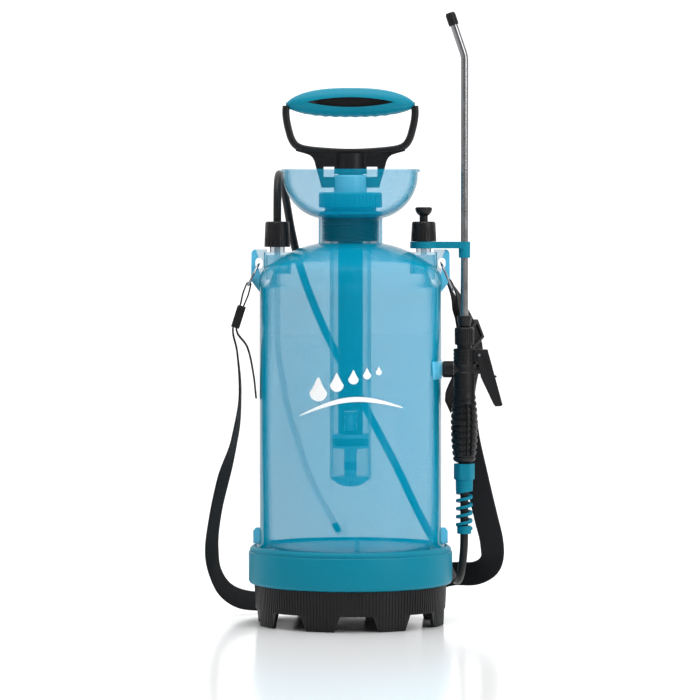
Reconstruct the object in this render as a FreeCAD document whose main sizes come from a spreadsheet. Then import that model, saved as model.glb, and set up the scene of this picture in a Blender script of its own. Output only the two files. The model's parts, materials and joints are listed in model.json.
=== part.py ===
import FreeCAD, Part
import Sketcher
import math
import os

# A hand-pumped pressure sprayer: a clear tank on a ringed foot, a plunger pump with a D-handle
# in a filling funnel, a hose that runs round the back to a trigger gun with a long lance,
# and a webbing carrying strap.
# Millimetres. +Z is up, the origin is on the floor below the pump's axis, -Y is the front.

Vector = FreeCAD.Vector

SIZES = [
    ("tank_radius", 95.0, "outside of the tank's wall"),
    ("tank_wall", 2.5, "thickness of the tank's wall"),
    ("tank_base", 62.0, "bottom edge of the tank's skirt"),
    ("tank_floor", 76.0, "inside of the tank's floor, at its middle"),
    ("skirt_radius", 100.0, "outside of the skirt under the tank"),
    ("shoulder_low", 351.0, "where the straight wall ends"),
    ("shoulder_radius", 84.0, "where the dome meets the shoulder's bend"),
    ("shoulder_high", 376.5, "height of that place"),
    ("shoulder_bend", 22.5, "radius of the shoulder's bend"),
    ("dome_bend", 125.0, "radius of the dome between neck and shoulder"),
    ("neck_radius", 33.5, "outside of the neck"),
    ("neck_bore", 29.8, "inside of the neck"),
    ("neck_low", 398.0, "foot of the neck"),
    ("neck_top", 424.0, "rim of the neck"),
    ("side_axis", 76.4, "distance of both side fittings from the pump's axis"),
    ("turret_radius", 14.4, "outside of the turret under a side fitting"),
    ("turret_top", 388.5, "top of the turret"),
    ("stub_radius", 7.8, "threaded stub on the turret"),
    ("outlet_stub_top", 400.0, "top of the hose stub"),
    ("valve_stub_top", 408.0, "top of the safety valve's stub"),
    ("ear_reach", 103.4, "how far the strap ears stand out"),
    ("ear_top", 391.5, "top of the strap ears"),
    ("ear_thick", 3.2, "thickness of the strap ears"),
    ("ear_hole_x", 95.5, "centre of the slot in an ear"),
    ("ear_hole_z", 377.0, "centre of the slot in an ear"),
    ("ear_hole_width", 7.4, "width of the slot in an ear"),
    ("ear_hole_rise", 3.6, "straight length of the slot in an ear"),
    ("ring_radius", 106.6, "outside of the coloured base ring"),
    ("ring_low", 42.0, "underside of the base ring"),
    ("ring_top", 82.2, "top of the base ring"),
    ("foot_low_radius", 98.0, "foot at the floor"),
    ("foot_top_radius", 100.0, "foot under the base ring"),
    ("foot_wall", 4.0, "thickness of the foot's skirt"),
    ("foot_notches", 8, "cut-outs round the foot"),
    ("notch_wide", 46.0, "width of a cut-out at the floor"),
    ("notch_narrow", 34.0, "width of a cut-out at its top"),
    ("notch_high", 16.0, "height of a cut-out"),
    ("notch_turn", 3.6, "turn of the first cut-out from the front"),
    ("funnel_radius", 70.5, "outside of the funnel's bowl at the rim"),
    ("funnel_rim_radius", 72.6, "outside of the funnel's rim"),
    ("funnel_rim_low", 472.0, "underside of the funnel's rim"),
    ("funnel_top", 475.0, "top of the funnel"),
    ("funnel_bend", 48.0, "radius of the bowl's curve"),
    ("funnel_wall", 2.0, "thickness of the bowl"),
    ("nut_low", 394.0, "underside of the hose nut"),
    ("nut_high", 420.5, "top of both side nuts"),
    ("hose_radius", 4.25, "outside of the hose"),
    ("hose_end", 143.6, "upper end of the hose, inside the gun's nut"),
    ("dip_radius", 3.0, "outside of the dip tube"),
    ("dip_bore", 2.2, "inside of the dip tube"),
    ("holder_low", 392.5, "underside of the lance holder's arm"),
    ("holder_high", 399.5, "top of the lance holder's arm"),
    ("clip_low", 382.7, "underside of the lance clip"),
    ("cap_radius", 33.0, "knurled pump cap"),
    ("cap_low", 435.0, "underside of the knurled band"),
    ("cap_top", 451.0, "top of the pump cap"),
    ("thread_low", 400.0, "lower end of the cap's thread"),
    ("thread_radius", 29.2, "crest of the cap's thread"),
    ("thread_root", 27.8, "root of the cap's thread"),
    ("thread_pitch", 4.0, "pitch of the cap's thread"),
    ("cylinder_radius", 21.5, "outside of the pump cylinder"),
    ("cylinder_bore", 19.5, "inside of the pump cylinder"),
    ("cylinder_low", 151.0, "lower end of the pump cylinder"),
    ("cylinder_top", 445.0, "upper end of the pump cylinder"),
    ("collar_radius", 17.3, "collar round the plunger"),
    ("collar_top", 469.0, "top of the collar"),
    ("piston_low", 183.6, "underside of the piston"),
    ("piston_top", 198.5, "top of the piston"),
    ("plunger_radius", 13.0, "outside of the plunger tube"),
    ("plunger_bore", 11.2, "inside of the plunger tube"),
    ("plunger_top", 490.0, "top of the plunger tube"),
    ("handle_half", 71.0, "half the width of the handle"),
    ("handle_low", 485.5, "underside of the handle's loop"),
    ("handle_bar", 550.6, "top of the bar inside the grip"),
    ("bar_low", 537.2, "underside of the bar inside the grip"),
    ("handle_thick", 16.0, "thickness of the handle frame"),
    ("loop_half", 63.4, "half the width of the finger loop"),
    ("loop_low", 494.3, "underside of the finger loop"),
    ("grip_half", 65.0, "half the length of the grip"),
    ("grip_low", 529.0, "underside of the grip"),
    ("grip_side", 535.4, "height of the grip's lower corners"),
    ("grip_thick", 32.0, "thickness of the grip, front to back"),
    ("gun_x", 119.0, "axis of the gun and lance"),
    ("gun_radius", 11.2, "barrel of the gun"),
    ("gun_low", 242.4, "joint between gun and grip"),
    ("gun_top", 287.8, "top of the gun's bell"),
    ("barrel_z", 266.2, "axis of the valve barrel across the gun"),
    ("lance_radius", 4.0, "outside of the lance"),
    ("lance_bore", 3.0, "inside of the lance"),
    ("lance_low", 286.5, "lower end of the lance"),
    ("lance_knee", 592.5, "where the lance bends"),
    ("lance_lean", 18.9, "angle of the bent tip, in degrees"),
    ("lance_reach", 48.3, "from the knee to the nozzle's face"),
    ("pivot_x", 134.3, "trigger pivot"),
    ("pivot_z", 281.0, "trigger pivot"),
    ("trigger_half", 7.2, "half the width of the trigger"),
    ("cheek_inner", 5.6, "inside of the trigger's cheeks"),
    ("strap_width", 25.0, "width of the webbing"),
    ("strap_thick", 1.2, "thickness of the webbing"),
    ("wire_radius", 1.2, "wire of the strap rings"),
    ("link_bow", 17.0, "radius of a strap ring's bow"),
    ("slider_length", 23.0, "length of a strap slider"),
]


class Size(float):
    """A number that also holds the sheet formula it comes from."""

    def __new__(cls, value, formula):
        size = float.__new__(cls, value)
        size.formula = formula
        return size

    def __add__(self, other):
        return Size(float(self) + float(other), f"({self.formula} + {formula(other)})")

    def __radd__(self, other):
        return Size(float(other) + float(self), f"({formula(other)} + {self.formula})")

    def __sub__(self, other):
        return Size(float(self) - float(other), f"({self.formula} - {formula(other)})")

    def __rsub__(self, other):
        return Size(float(other) - float(self), f"({formula(other)} - {self.formula})")

    def __mul__(self, other):
        return Size(float(self) * float(other), f"({self.formula} * {formula(other)})")

    def __rmul__(self, other):
        return Size(float(other) * float(self), f"({formula(other)} * {self.formula})")

    def __truediv__(self, other):
        return Size(float(self) / float(other), f"({self.formula} / {formula(other)})")

    def __neg__(self):
        return Size(-float(self), f"(0 - {self.formula})")


def formula(value):
    """The sheet formula of a size, or a plain number as text."""
    return value.formula if isinstance(value, Size) else repr(float(value))


class Sheet:
    """The driving dimensions: one row of the spreadsheet each, read back as attributes."""

    def __init__(self, doc, rows):
        cells = doc.addObject("Spreadsheet::Sheet", "Sizes")
        for row, (name, value, note) in enumerate(rows, start=1):
            cells.set(f"A{row}", name)
            cells.set(f"B{row}", str(value))
            cells.setAlias(f"B{row}", name)
            cells.set(f"C{row}", note)
            setattr(self, name, Size(value, f"Sizes.{name}"))


doc = FreeCAD.newDocument("pump_sprayer")
S = Sheet(doc, SIZES)
doc.recompute()


# ---------------------------------------------------------------- helpers


def bind(item, name, value):
    """Set a property, tied to the sheet where its value comes from there."""
    if isinstance(value, Size):
        item.setExpression(name, value.formula)
    else:
        setattr(item, name, value)


def place(item, at=(0, 0, 0), turn=FreeCAD.Rotation()):
    """Put an object somewhere, each coordinate tied to the sheet where it comes from there."""
    item.Placement = FreeCAD.Placement(Vector(*at), turn)
    for letter, value in zip("xyz", at):
        if isinstance(value, Size):
            item.setExpression(f"Placement.Base.{letter}", value.formula)
    return item


def towards(direction):
    """The rotation that takes +Z to a direction."""
    return FreeCAD.Rotation(Vector(0, 0, 1), Vector(*direction))


def made(kind, label):
    item = doc.addObject(kind, label)
    item.Label = label
    return item


def rod(label, radius, length, at=(0, 0, 0), direction=(0, 0, 1)):
    """A cylinder from a point along a direction."""
    item = made("Part::Cylinder", label)
    bind(item, "Radius", radius)
    bind(item, "Height", length)
    return place(item, at, towards(direction))


def box(label, low, size):
    """A box from its low corner."""
    item = made("Part::Box", label)
    for name, value in zip(("Length", "Width", "Height"), size):
        bind(item, name, value)
    return place(item, low)


def fused(label, parts):
    item = made("Part::MultiFuse", label)
    item.Shapes = parts
    return item


def cut(label, base, tools):
    """A base with one or more tools taken out of it."""
    item = made("Part::Cut", label)
    item.Base = base
    item.Tool = tools[0] if len(tools) == 1 else fused(f"{label}_tools", tools)
    return item


def sketch_on(body, role, label):
    """A sketch on one of a body's own origin planes."""
    plane = next(f for f in body.Origin.OriginFeatures if f.Role == role)
    sketch = body.newObject("Sketcher::SketchObject", label)
    sketch.AttachmentSupport = [(plane, "")]
    sketch.MapMode = "FlatFace"
    return sketch


def arc_between(start, end, radius, side):
    """The short arc between two points; side +1 bows it to the left of the way it runs, -1 to the right."""
    chord = end - start
    left = Vector(-chord.y, chord.x, 0).normalize()
    centre = start + chord * 0.5 - left * (side * math.sqrt(radius**2 - chord.Length**2 / 4))
    first, last = (start, end) if side < 0 else (end, start)
    begins = math.atan2(first.y - centre.y, first.x - centre.x)
    ends = math.atan2(last.y - centre.y, last.x - centre.x)
    if ends < begins:
        ends += 2 * math.pi
    return Part.ArcOfCircle(Part.Circle(centre, Vector(0, 0, 1), radius), begins, ends)


def outline(sketch, corners):
    """A closed outline whose corners are tied to the sheet.

    A corner is (x, y) or (x, y, radius, side): the latter starts an arc to the next corner."""
    points = [Vector(float(c[0]), float(c[1]), 0) for c in corners]
    ends = []
    for i, corner in enumerate(corners):
        start = points[i]
        end = points[(i + 1) % len(points)]
        if len(corner) == 4:
            index = sketch.addGeometry(arc_between(start, end, float(corner[2]), corner[3]), False)
            forward = (sketch.Geometry[index].StartPoint - start).Length < 1e-6
            ends.append((index, 1, 2) if forward else (index, 2, 1))
        else:
            index = sketch.addGeometry(Part.LineSegment(start, end), False)
            ends.append((index, 1, 2))
    for here, following in zip(ends, ends[1:] + ends[:1]):
        sketch.addConstraint(Sketcher.Constraint("Coincident", here[0], here[2], following[0], following[1]))
    for (index, first, _), corner in zip(ends, corners):
        for kind, value, axis in (("DistanceX", corner[0], -2), ("DistanceY", corner[1], -1)):
            if float(value) == 0:
                sketch.addConstraint(Sketcher.Constraint("PointOnObject", index, first, axis))
                continue
            number = sketch.addConstraint(
                Sketcher.Constraint(kind, -1, 1, index, first, float(value)))
            if isinstance(value, Size):
                sketch.setExpression(f"Constraints[{number}]", value.formula)
        if len(corner) == 4:
            number = sketch.addConstraint(Sketcher.Constraint("Radius", index, float(corner[2])))
            if isinstance(corner[2], Size):
                sketch.setExpression(f"Constraints[{number}]", corner[2].formula)


def turned(label, corners, at=(0, 0, 0), direction=(0, 0, 1)):
    """A body of revolution from (radius, height) corners, standing at a point along a direction."""
    body = made("PartDesign::Body", label)
    sketch = sketch_on(body, "XZ_Plane", f"{label}_profile")
    outline(sketch, corners)
    turn = body.newObject("PartDesign::Revolution", f"{label}_turn")
    turn.Profile = sketch
    turn.ReferenceAxis = (sketch, ["V_Axis"])
    turn.Angle = 360
    return place(body, at, towards(direction))


def plate(label, corners, thickness, at=(0, 0, 0)):
    """A body padded both ways from the XZ plane."""
    body = made("PartDesign::Body", label)
    sketch = sketch_on(body, "XZ_Plane", f"{label}_outline")
    outline(sketch, corners)
    pad = body.newObject("PartDesign::Pad", f"{label}_pad")
    pad.Profile = sketch
    pad.SideType = "Symmetric"
    bind(pad, "Length", thickness)
    return place(body, at)


def round_edges(body, label, radius, wanted):
    """Round the edges of a body's tip that a test picks."""
    doc.recompute()
    base = body.Tip
    names = [f"Edge{i}" for i, edge in enumerate(base.Shape.Edges, start=1) if wanted(edge)]
    fillet = body.newObject("PartDesign::Fillet", label)
    fillet.Base = (base, names)
    bind(fillet, "Radius", radius)


def along_y(edge):
    """Whether an edge is a straight one that runs front to back."""
    return edge.Curve.TypeId == "Part::GeomLine" and abs(edge.tangentAt(edge.FirstParameter).y) > 0.999


def in_side(edge, half):
    """Whether an edge lies in the front or back face of a plate."""
    bounds = edge.BoundBox
    return bounds.YLength < 1e-4 and abs(abs(bounds.YMin) - float(half)) < 1e-4


def ribbed(label, corners, count, depth, width, low, length, radius, at=(0, 0, 0), direction=(0, 0, 1)):
    """A turned body with straight grooves round its outside."""
    body = turned(label, corners, at, direction)
    doc.recompute()
    before = body.Shape.Volume
    sketch = sketch_on(body, "XY_Plane", f"{label}_groove_outline")
    sketch.AttachmentOffset = FreeCAD.Placement(Vector(0, 0, float(low)), FreeCAD.Rotation())
    inner = radius - depth
    outer = radius + depth + 1
    outline(sketch, [(inner, -width / 2), (outer, -width / 2), (outer, width / 2), (inner, width / 2)])
    groove = body.newObject("PartDesign::Pocket", f"{label}_groove")
    groove.Profile = sketch
    groove.Reversed = True
    bind(groove, "Length", length)
    pattern = body.newObject("PartDesign::PolarPattern", f"{label}_grooves")
    pattern.Originals = [groove]
    pattern.Axis = (sketch, ["N_Axis"])
    pattern.Angle = 360
    pattern.Occurrences = count
    body.Tip = pattern
    doc.recompute()
    if body.Shape.Volume > before - 0.5 * count:
        raise SystemExit(f"{label}: the grooves cut nothing")
    return body


def rounded_wire(points, radii):
    """Straight runs joined by tangent arcs, one radius for each inner point."""
    edges = []
    start = points[0]
    for before, corner, after, radius in zip(points, points[1:], points[2:], radii):
        back = (before - corner).normalize()
        ahead = (after - corner).normalize()
        half_turn = (math.pi - back.getAngle(ahead)) / 2
        trim = radius * math.tan(half_turn)
        middle = (back + ahead).normalize()
        peak = corner + middle * (radius / math.cos(half_turn) - radius)
        if (corner + back * trim - start).Length > 1e-6:
            edges.append(Part.LineSegment(start, corner + back * trim).toShape())
        edges.append(Part.Arc(corner + back * trim, peak, corner + ahead * trim).toShape())
        start = corner + ahead * trim
    edges.append(Part.LineSegment(start, points[-1]).toShape())
    return Part.Wire(edges)


def route_radii(points):
    """The arc at each inner point of a loose route: as large as its two runs allow."""
    radii = []
    for before, corner, after in zip(points, points[1:], points[2:]):
        turn = math.pi - (before - corner).getAngle(after - corner)
        shorter = min((before - corner).Length, (after - corner).Length)
        radii.append(0.45 * shorter / math.tan(turn / 2))
    return radii


def swept(path, radius):
    """A solid round bar along a wire."""
    edge = path.Edges[0]
    first = edge.valueAt(edge.FirstParameter)
    circle = Part.Wire([Part.makeCircle(float(radius), first, edge.tangentAt(edge.FirstParameter))])
    return path.makePipeShell([circle], True, True)


def feature(label, shape):
    """A sub-part whose shape is worked out here from the sheet's sizes."""
    item = made("Part::Feature", label)
    item.Shape = shape
    return item


# ---------------------------------------------------------------- tank, base and funnel


def strap_ear(side):
    """A flat ear with a slot for the strap ring, on the left (-1) or right (+1)."""
    name = f"strap_ear_{'left' if side < 0 else 'right'}"
    low = S.shoulder_low - 4
    body = plate(name, [
        (side * 87, low), (side * S.tank_radius, low), (side * (S.ear_reach + 0.4), S.shoulder_low + 8),
        (side * S.ear_reach, S.ear_top), (side * 87, S.ear_top)], S.ear_thick)
    round_edges(body, f"{name}_corner", 4.5, lambda edge: along_y(edge)
                and abs(abs(edge.BoundBox.XMin) - S.ear_reach) < 0.1
                and abs(edge.BoundBox.ZMin - S.ear_top) < 0.1)
    return body


def ear_slot(side):
    """The cutter for an ear's slot."""
    name = f"ear_slot_{'left' if side < 0 else 'right'}"
    middle = side * S.ear_hole_x
    width = S.ear_hole_width
    ends = [rod(f"{name}_{part}", width / 2, 10, (middle, 5, S.ear_hole_z + rise), (0, -1, 0))
            for part, rise in (("top", S.ear_hole_rise / 2), ("bottom", S.ear_hole_rise / -2))]
    straight = box(f"{name}_straight", (middle - width / 2, -5, S.ear_hole_z - S.ear_hole_rise / 2),
                   (width, 10, S.ear_hole_rise))
    return ends + [straight]


def tank_shell():
    """The clear tank: domed shoulder, neck, two turrets, strap ears, lugs and a pad for the gun."""
    wall = S.tank_wall
    inner = S.tank_radius - wall
    shell = turned("tank_wall_body", [
        (S.neck_radius, S.neck_top), (S.neck_bore, S.neck_top), (S.neck_bore, S.neck_low - 2.5),
        (S.shoulder_radius - 1.5, S.shoulder_high - 2.4, S.shoulder_bend - wall, -1),
        (inner, S.shoulder_low), (inner, S.tank_floor + 12), (inner - 6, S.tank_floor + 5), (0, S.tank_floor),
        (0, S.tank_floor - wall), (inner - 5, S.tank_floor + 2), (S.skirt_radius - 3, S.tank_floor - 1),
        (S.skirt_radius - 3, S.tank_base), (S.skirt_radius, S.tank_base),
        (S.skirt_radius, S.tank_floor + 4.5), (S.tank_radius, S.tank_floor + 10),
        (S.tank_radius, S.shoulder_low, S.shoulder_bend, -1),
        (S.shoulder_radius, S.shoulder_high, S.dome_bend, -1), (S.neck_radius, S.neck_low)])
    added = [shell]
    removed = []
    for side, name, stub_top in ((-1, "outlet", S.outlet_stub_top), (1, "valve", S.valve_stub_top)):
        axis = side * S.side_axis
        added.append(rod(f"{name}_turret", S.turret_radius, S.turret_top - 366, (axis, 0, 366)))
        added.append(rod(f"{name}_stub", S.stub_radius, stub_top - 384, (axis, 0, 384)))
        removed.append(rod(f"{name}_turret_room", S.turret_radius - 2.6, 25.5, (axis, 0, 360)))
        added.append(strap_ear(side))
        added.append(plate(f"{name}_lug", [
            (side * 93, 84), (side * 101.8, 84), (side * 101.8, 97), (side * 99, 100.5), (side * 93, 100.5)],
            S.ear_thick + 1.6))
        removed.extend(ear_slot(side))
    removed.append(rod("outlet_stub_bore", S.dip_radius + 0.1, 30, (-S.side_axis, 0, 375)))
    removed.append(rod("valve_seat_bore", 3, 30, (S.side_axis, 0, 375)))
    removed.append(rod("valve_chamber", 6.1, 12, (S.side_axis, 0, 398.5)))
    added.append(rod("floor_peg", 2, 15, (7, 0, S.tank_floor - 1)))
    pad = made("Part::Cylinder", "gun_pad")
    bind(pad, "Radius", S.tank_radius + 0.7)
    bind(pad, "Height", 18.6)
    pad.Angle = 54
    place(pad, (0, 0, 257), FreeCAD.Rotation(Vector(0, 0, 1), -27))
    core = rod("gun_pad_core", S.tank_radius - 1, 18.6, (0, 0, 257))
    added.append(cut("gun_pad_shell", pad, [core]))
    return cut("tank_shell", fused("tank_added", added), removed)


def base_ring():
    """The coloured ring that holds the tank's skirt on the foot."""
    top = S.ring_top
    r = S.ring_radius
    return turned("base_ring", [
        (S.skirt_radius + 0.2, top), (r - 4.6, top), (r - 1.6, top - 2.4), (r - 1.2, top - 5),
        (r - 1.7, top - 5.6), (r, top - 6.6), (r, S.ring_low + 4), (r - 1.6, S.ring_low + 1.2),
        (S.foot_top_radius + 0.4, S.ring_low), (S.foot_top_radius - 2.4, S.ring_low),
        (S.foot_top_radius - 2.4, S.tank_base - 4), (94, S.tank_base - 4), (94, S.tank_base),
        (S.skirt_radius + 0.2, S.tank_base)])


def base_foot():
    """The dark foot: a skirt with eight cut-outs and a closed top."""
    low = S.foot_low_radius
    top = S.ring_low
    spigot = S.foot_top_radius - 2.5
    body = turned("base_foot", [
        (low, 0), (S.foot_top_radius, top), (spigot, top), (spigot, S.tank_base - 4.1),
        (0, S.tank_base - 4.1), (0, S.tank_base - 8), (spigot - S.foot_wall, S.tank_base - 8),
        (low - S.foot_wall, 0)])
    doc.recompute()
    before = body.Shape.Volume
    sketch = sketch_on(body, "XZ_Plane", "notch_outline")
    outline(sketch, [
        (S.notch_wide / -2, -1), (S.notch_wide / 2, -1), (S.notch_narrow / 2, S.notch_high),
        (S.notch_narrow / -2, S.notch_high)])
    notch = body.newObject("PartDesign::Pocket", "notch")
    notch.Profile = sketch
    notch.Reversed = True
    bind(notch, "Length", S.foot_top_radius + 10)
    pattern = body.newObject("PartDesign::PolarPattern", "notches")
    pattern.Originals = [notch]
    pattern.Axis = (next(f for f in body.Origin.OriginFeatures if f.Role == "Z_Axis"), [""])
    pattern.Angle = 360
    pattern.Occurrences = int(S.foot_notches)
    body.Tip = pattern
    body.Placement = FreeCAD.Placement(Vector(), FreeCAD.Rotation(Vector(0, 0, 1), float(S.notch_turn)))
    doc.recompute()
    if body.Shape.Volume > before * 0.95:
        raise SystemExit("the foot's cut-outs cut nothing")
    return body


def funnel():
    """The clear filling funnel round the pump."""
    base = S.neck_top + 0.05
    r = S.funnel_radius
    wall = S.funnel_wall
    low = S.funnel_rim_low
    return turned("funnel", [
        (S.neck_bore + 0.2, base), (S.neck_radius + 1, base, S.funnel_bend, -1),
        (r, low), (S.funnel_rim_radius, low), (S.funnel_rim_radius, S.funnel_top), (r - wall, S.funnel_top),
        (r - wall, low, S.funnel_bend - wall, 1), (S.neck_radius + 0.2, base + 2), (S.neck_bore + 0.2, base + 2)])


# ---------------------------------------------------------------- hose outlet, dip tube, safety valve


def outlet_parts():
    """The left fitting: ribbed nut, barbed tail under it and its washer."""
    at = (-S.side_axis, 0, 0)
    top = S.nut_high
    seat = S.outlet_stub_top
    nut = ribbed("outlet_nut", [
        (S.stub_radius + 0.25, S.nut_low), (13.6, S.nut_low), (12.6, top - 1.6), (11.4, top),
        (S.hose_radius + 0.15, top), (S.hose_radius + 0.15, seat + 4.1), (S.stub_radius + 0.25, seat + 4.1)],
        20, 0.7, 1.6, S.nut_low + 2, top - S.nut_low - 5, 13.6, at)
    barb = turned("outlet_barb", [
        (1.8, seat + 1.5), (7.4, seat + 1.5), (7.4, seat + 4), (S.hose_radius, seat + 4),
        (S.hose_radius, top), (1.8, top)], at)
    seal = turned("outlet_seal", [
        (S.dip_radius + 0.2, seat), (7.4, seat), (7.4, seat + 1.5), (S.dip_radius + 0.2, seat + 1.5)], at)
    return [nut, barb, seal]


def dip_parts():
    """The clear dip tube from the outlet to the tank's floor, with its foot."""
    points = [
        Vector(-S.side_axis, 0, S.outlet_stub_top - 0.5), Vector(-S.side_axis, 0, 285),
        Vector(-66, 0, 225), Vector(-42, 0, 150), Vector(-12, 0, 96)]
    path = rounded_wire(points, [150, 300, 220])
    print("dip tube length", round(path.Length, 1))
    tube = feature("dip_tube", swept(path, S.dip_radius).cut(swept(path, S.dip_bore)))
    lean = points[-1] - points[-2]
    tip = points[-1]
    foot = turned("strainer_sleeve", [
        (S.dip_radius + 0.1, 0), (4.2, 0), (3.6, 13), (1, 13), (1, 11.4), (S.dip_radius + 0.1, 10)],
        tuple(tip - lean.normalize() * 9.9), tuple(lean))
    tongue = rod("strainer_tongue", 1.9, 22, (-5.6, 0, 86.5))
    strainer = cut("suction_strainer", fused("strainer_joined", [foot, tongue]),
                   [rod("strainer_clear", S.dip_radius + 0.1, 40, tuple(tip - lean * 40), tuple(lean))])
    return [tube, strainer]


def valve_parts():
    """The right fitting: safety valve with its nut, spring, seal and pull knob."""
    at = (S.side_axis, 0, 0)
    low = S.holder_high + 0.3
    top = S.nut_high
    nut = ribbed("valve_nut", [
        (S.stub_radius + 0.25, low), (13.3, low), (12.4, top - 1.6), (11.2, top), (4.5, top),
        (4.5, top - 3), (S.stub_radius + 0.25, top - 3)], 20, 0.7, 1.6, low + 2, top - low - 5, 13.3, at)
    knob = turned("valve_knob", [
        (0, 401), (5.9, 401), (5.9, 403), (4.4, 403), (4.4, 426.5, 9, -1), (8.9, 433.5), (8.9, 434.7),
        (7.2, 435.6), (0, 435.6)], at)
    seal = turned("valve_seal", [(0, 398.6), (5.6, 398.6), (5.6, 401), (0, 401)], at)
    spring = turned("valve_spring", [(4.8, 403.1), (5.8, 403.1), (5.8, top - 3.2), (4.8, top - 3.2)], at)
    return [nut, knob, seal, spring]


def lance_holder():
    """The arm that clips on the valve's stub and holds the lance."""
    low = S.holder_low
    high = S.holder_high
    arm = box("holder_arm", (S.side_axis, -6, low), (S.gun_x - S.side_axis, 12, high - low))
    hub = rod("holder_hub", 14.2, high - low, (S.side_axis, 0, low))
    clip = rod("holder_clip", 6.1, high - S.clip_low, (S.gun_x, 0, S.clip_low))
    room = [
        rod("holder_hub_bore", S.stub_radius + 0.05, 30, (S.side_axis, 0, low - 5)),
        rod("holder_clip_bore", S.lance_radius + 0.05, 30, (S.gun_x, 0, S.clip_low - 5)),
        box("holder_clip_mouth", (S.gun_x - 3, 0, S.clip_low - 5), (6, 20, 30))]
    return cut("lance_holder", fused("holder_joined", [arm, hub, clip]), room)


# ---------------------------------------------------------------- pump


def pump_cap():
    """The knurled cap with its thread."""
    corners = [(S.cylinder_radius + 0.2, S.thread_low), (S.thread_root, S.thread_low)]
    turns = 5
    for turn in range(turns):
        z = S.thread_low + 1.5 + turn * S.thread_pitch
        corners += [(S.thread_root, z), (S.thread_radius, z + 0.8), (S.thread_radius, z + 1.4),
                    (S.thread_root, z + 2.2)]
    seat = S.neck_top + 4.6
    corners += [
        (S.thread_root, seat), (32.8, seat), (32.8, seat + 2.2), (27, seat + 2.8), (27, S.cap_low),
        (S.cap_radius - 1, S.cap_low), (S.cap_radius, S.cap_low + 1), (S.cap_radius, S.cap_top - 1.4),
        (S.cap_radius - 1.4, S.cap_top), (S.collar_radius + 0.1, S.cap_top),
        (S.collar_radius + 0.1, S.cap_top - 2), (S.cylinder_radius + 0.2, S.cap_top - 2)]
    return ribbed("pump_cap", corners, 48, 0.8, 1.4, S.cap_low + 2, S.cap_top - S.cap_low - 5, S.cap_radius)


def pump_cylinder():
    """The clear pump cylinder with four small feet."""
    tube = turned("cylinder_tube", [
        (S.cylinder_bore, S.cylinder_low), (S.cylinder_radius, S.cylinder_low),
        (S.cylinder_radius, S.cylinder_top), (S.cylinder_bore, S.cylinder_top)])
    foot = 1.0
    feet = []
    for i in range(4):
        angle = math.radians(90 * i)
        middle = float(S.cylinder_radius) - foot
        at = (middle * math.cos(angle), middle * math.sin(angle), S.cylinder_low - 7.5)
        feet.append(rod(f"cylinder_foot_{i}", foot, 8.5, at))
    return fused("pump_cylinder", [tube] + feet)


def pump_fixed_parts():
    """Collar, gasket and the valve at the cylinder's foot."""
    top = S.cylinder_top
    collar = turned("pump_collar", [
        (S.plunger_radius + 0.06, top - 18), (S.cylinder_bore - 0.1, top - 18), (S.cylinder_bore - 0.1, top),
        (S.cylinder_radius, top), (S.cylinder_radius, S.cap_top - 2.05), (S.collar_radius, S.cap_top - 2.05),
        (S.collar_radius, S.collar_top - 1.5), (S.collar_radius - 1.5, S.collar_top),
        (S.plunger_radius + 0.06, S.collar_top)])
    gasket = turned("pump_gasket", [
        (29.4, S.neck_top + 2.1), (32.6, S.neck_top + 2.1), (32.6, S.neck_top + 4.5), (29.4, S.neck_top + 4.5)])
    low = S.cylinder_low
    valve = turned("foot_valve", [
        (2, low - 7), (8, low - 7, 30, -1), (19.2, low - 0.2), (S.cylinder_bore - 0.1, low + 0.2),
        (S.cylinder_bore - 0.1, low + 3), (6.4, low + 3), (6.4, low + 10), (5.9, low + 10), (5.9, low + 19),
        (6.4, low + 19), (6.4, low + 28), (7, low + 29), (7, low + 32), (2, low + 32)])
    sleeve = turned("foot_valve_sleeve", [(5.9, low + 10), (6.9, low + 10), (6.9, low + 19), (5.9, low + 19)])
    return [collar, gasket, valve, sleeve]


def piston_parts():
    """The piston with its ring and the plug that carries the plunger."""
    low = S.piston_low
    top = S.piston_top
    rim = S.cylinder_bore - 0.6
    head = turned("piston_head", [
        (0, low), (rim, low), (rim, low + 2.8), (14, low + 2.8), (14, top - 4.1), (rim, top - 4.1),
        (rim, top), (S.plunger_bore - 0.08, top), (S.plunger_bore - 0.08, top + 3.5), (6.2, top + 3.5),
        (6.2, top + 11), (7, top + 12), (7, top + 15), (6.2, top + 16), (6.2, top + 20), (7, top + 20.6),
        (7, top + 23), (0, top + 23)])
    edge = S.cylinder_bore - 0.08
    ring = turned("piston_ring", [
        (14.1, low + 2.9), (edge - 1.6, low + 2.9), (edge, low + 4.6), (edge, top - 5.9),
        (edge - 1.6, top - 4.2), (14.1, top - 4.2)])
    return [head, ring]


def plunger_tube():
    """The plunger tube with a window at its foot."""
    tube = turned("plunger_pipe", [
        (S.plunger_bore, S.piston_top + 0.1), (S.plunger_radius, S.piston_top + 0.1),
        (S.plunger_radius, S.plunger_top), (S.plunger_bore, S.plunger_top)])
    window = box("plunger_window", (-6.6, -20, S.piston_top + 4), (13.2, 40, 20.5))
    return cut("plunger_tube", tube, [window])


def mirrored(corners):
    """An outline's left half, from top to bottom, followed by its right half."""
    return corners + [(-x, z) for x, z in reversed(corners)]


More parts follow.
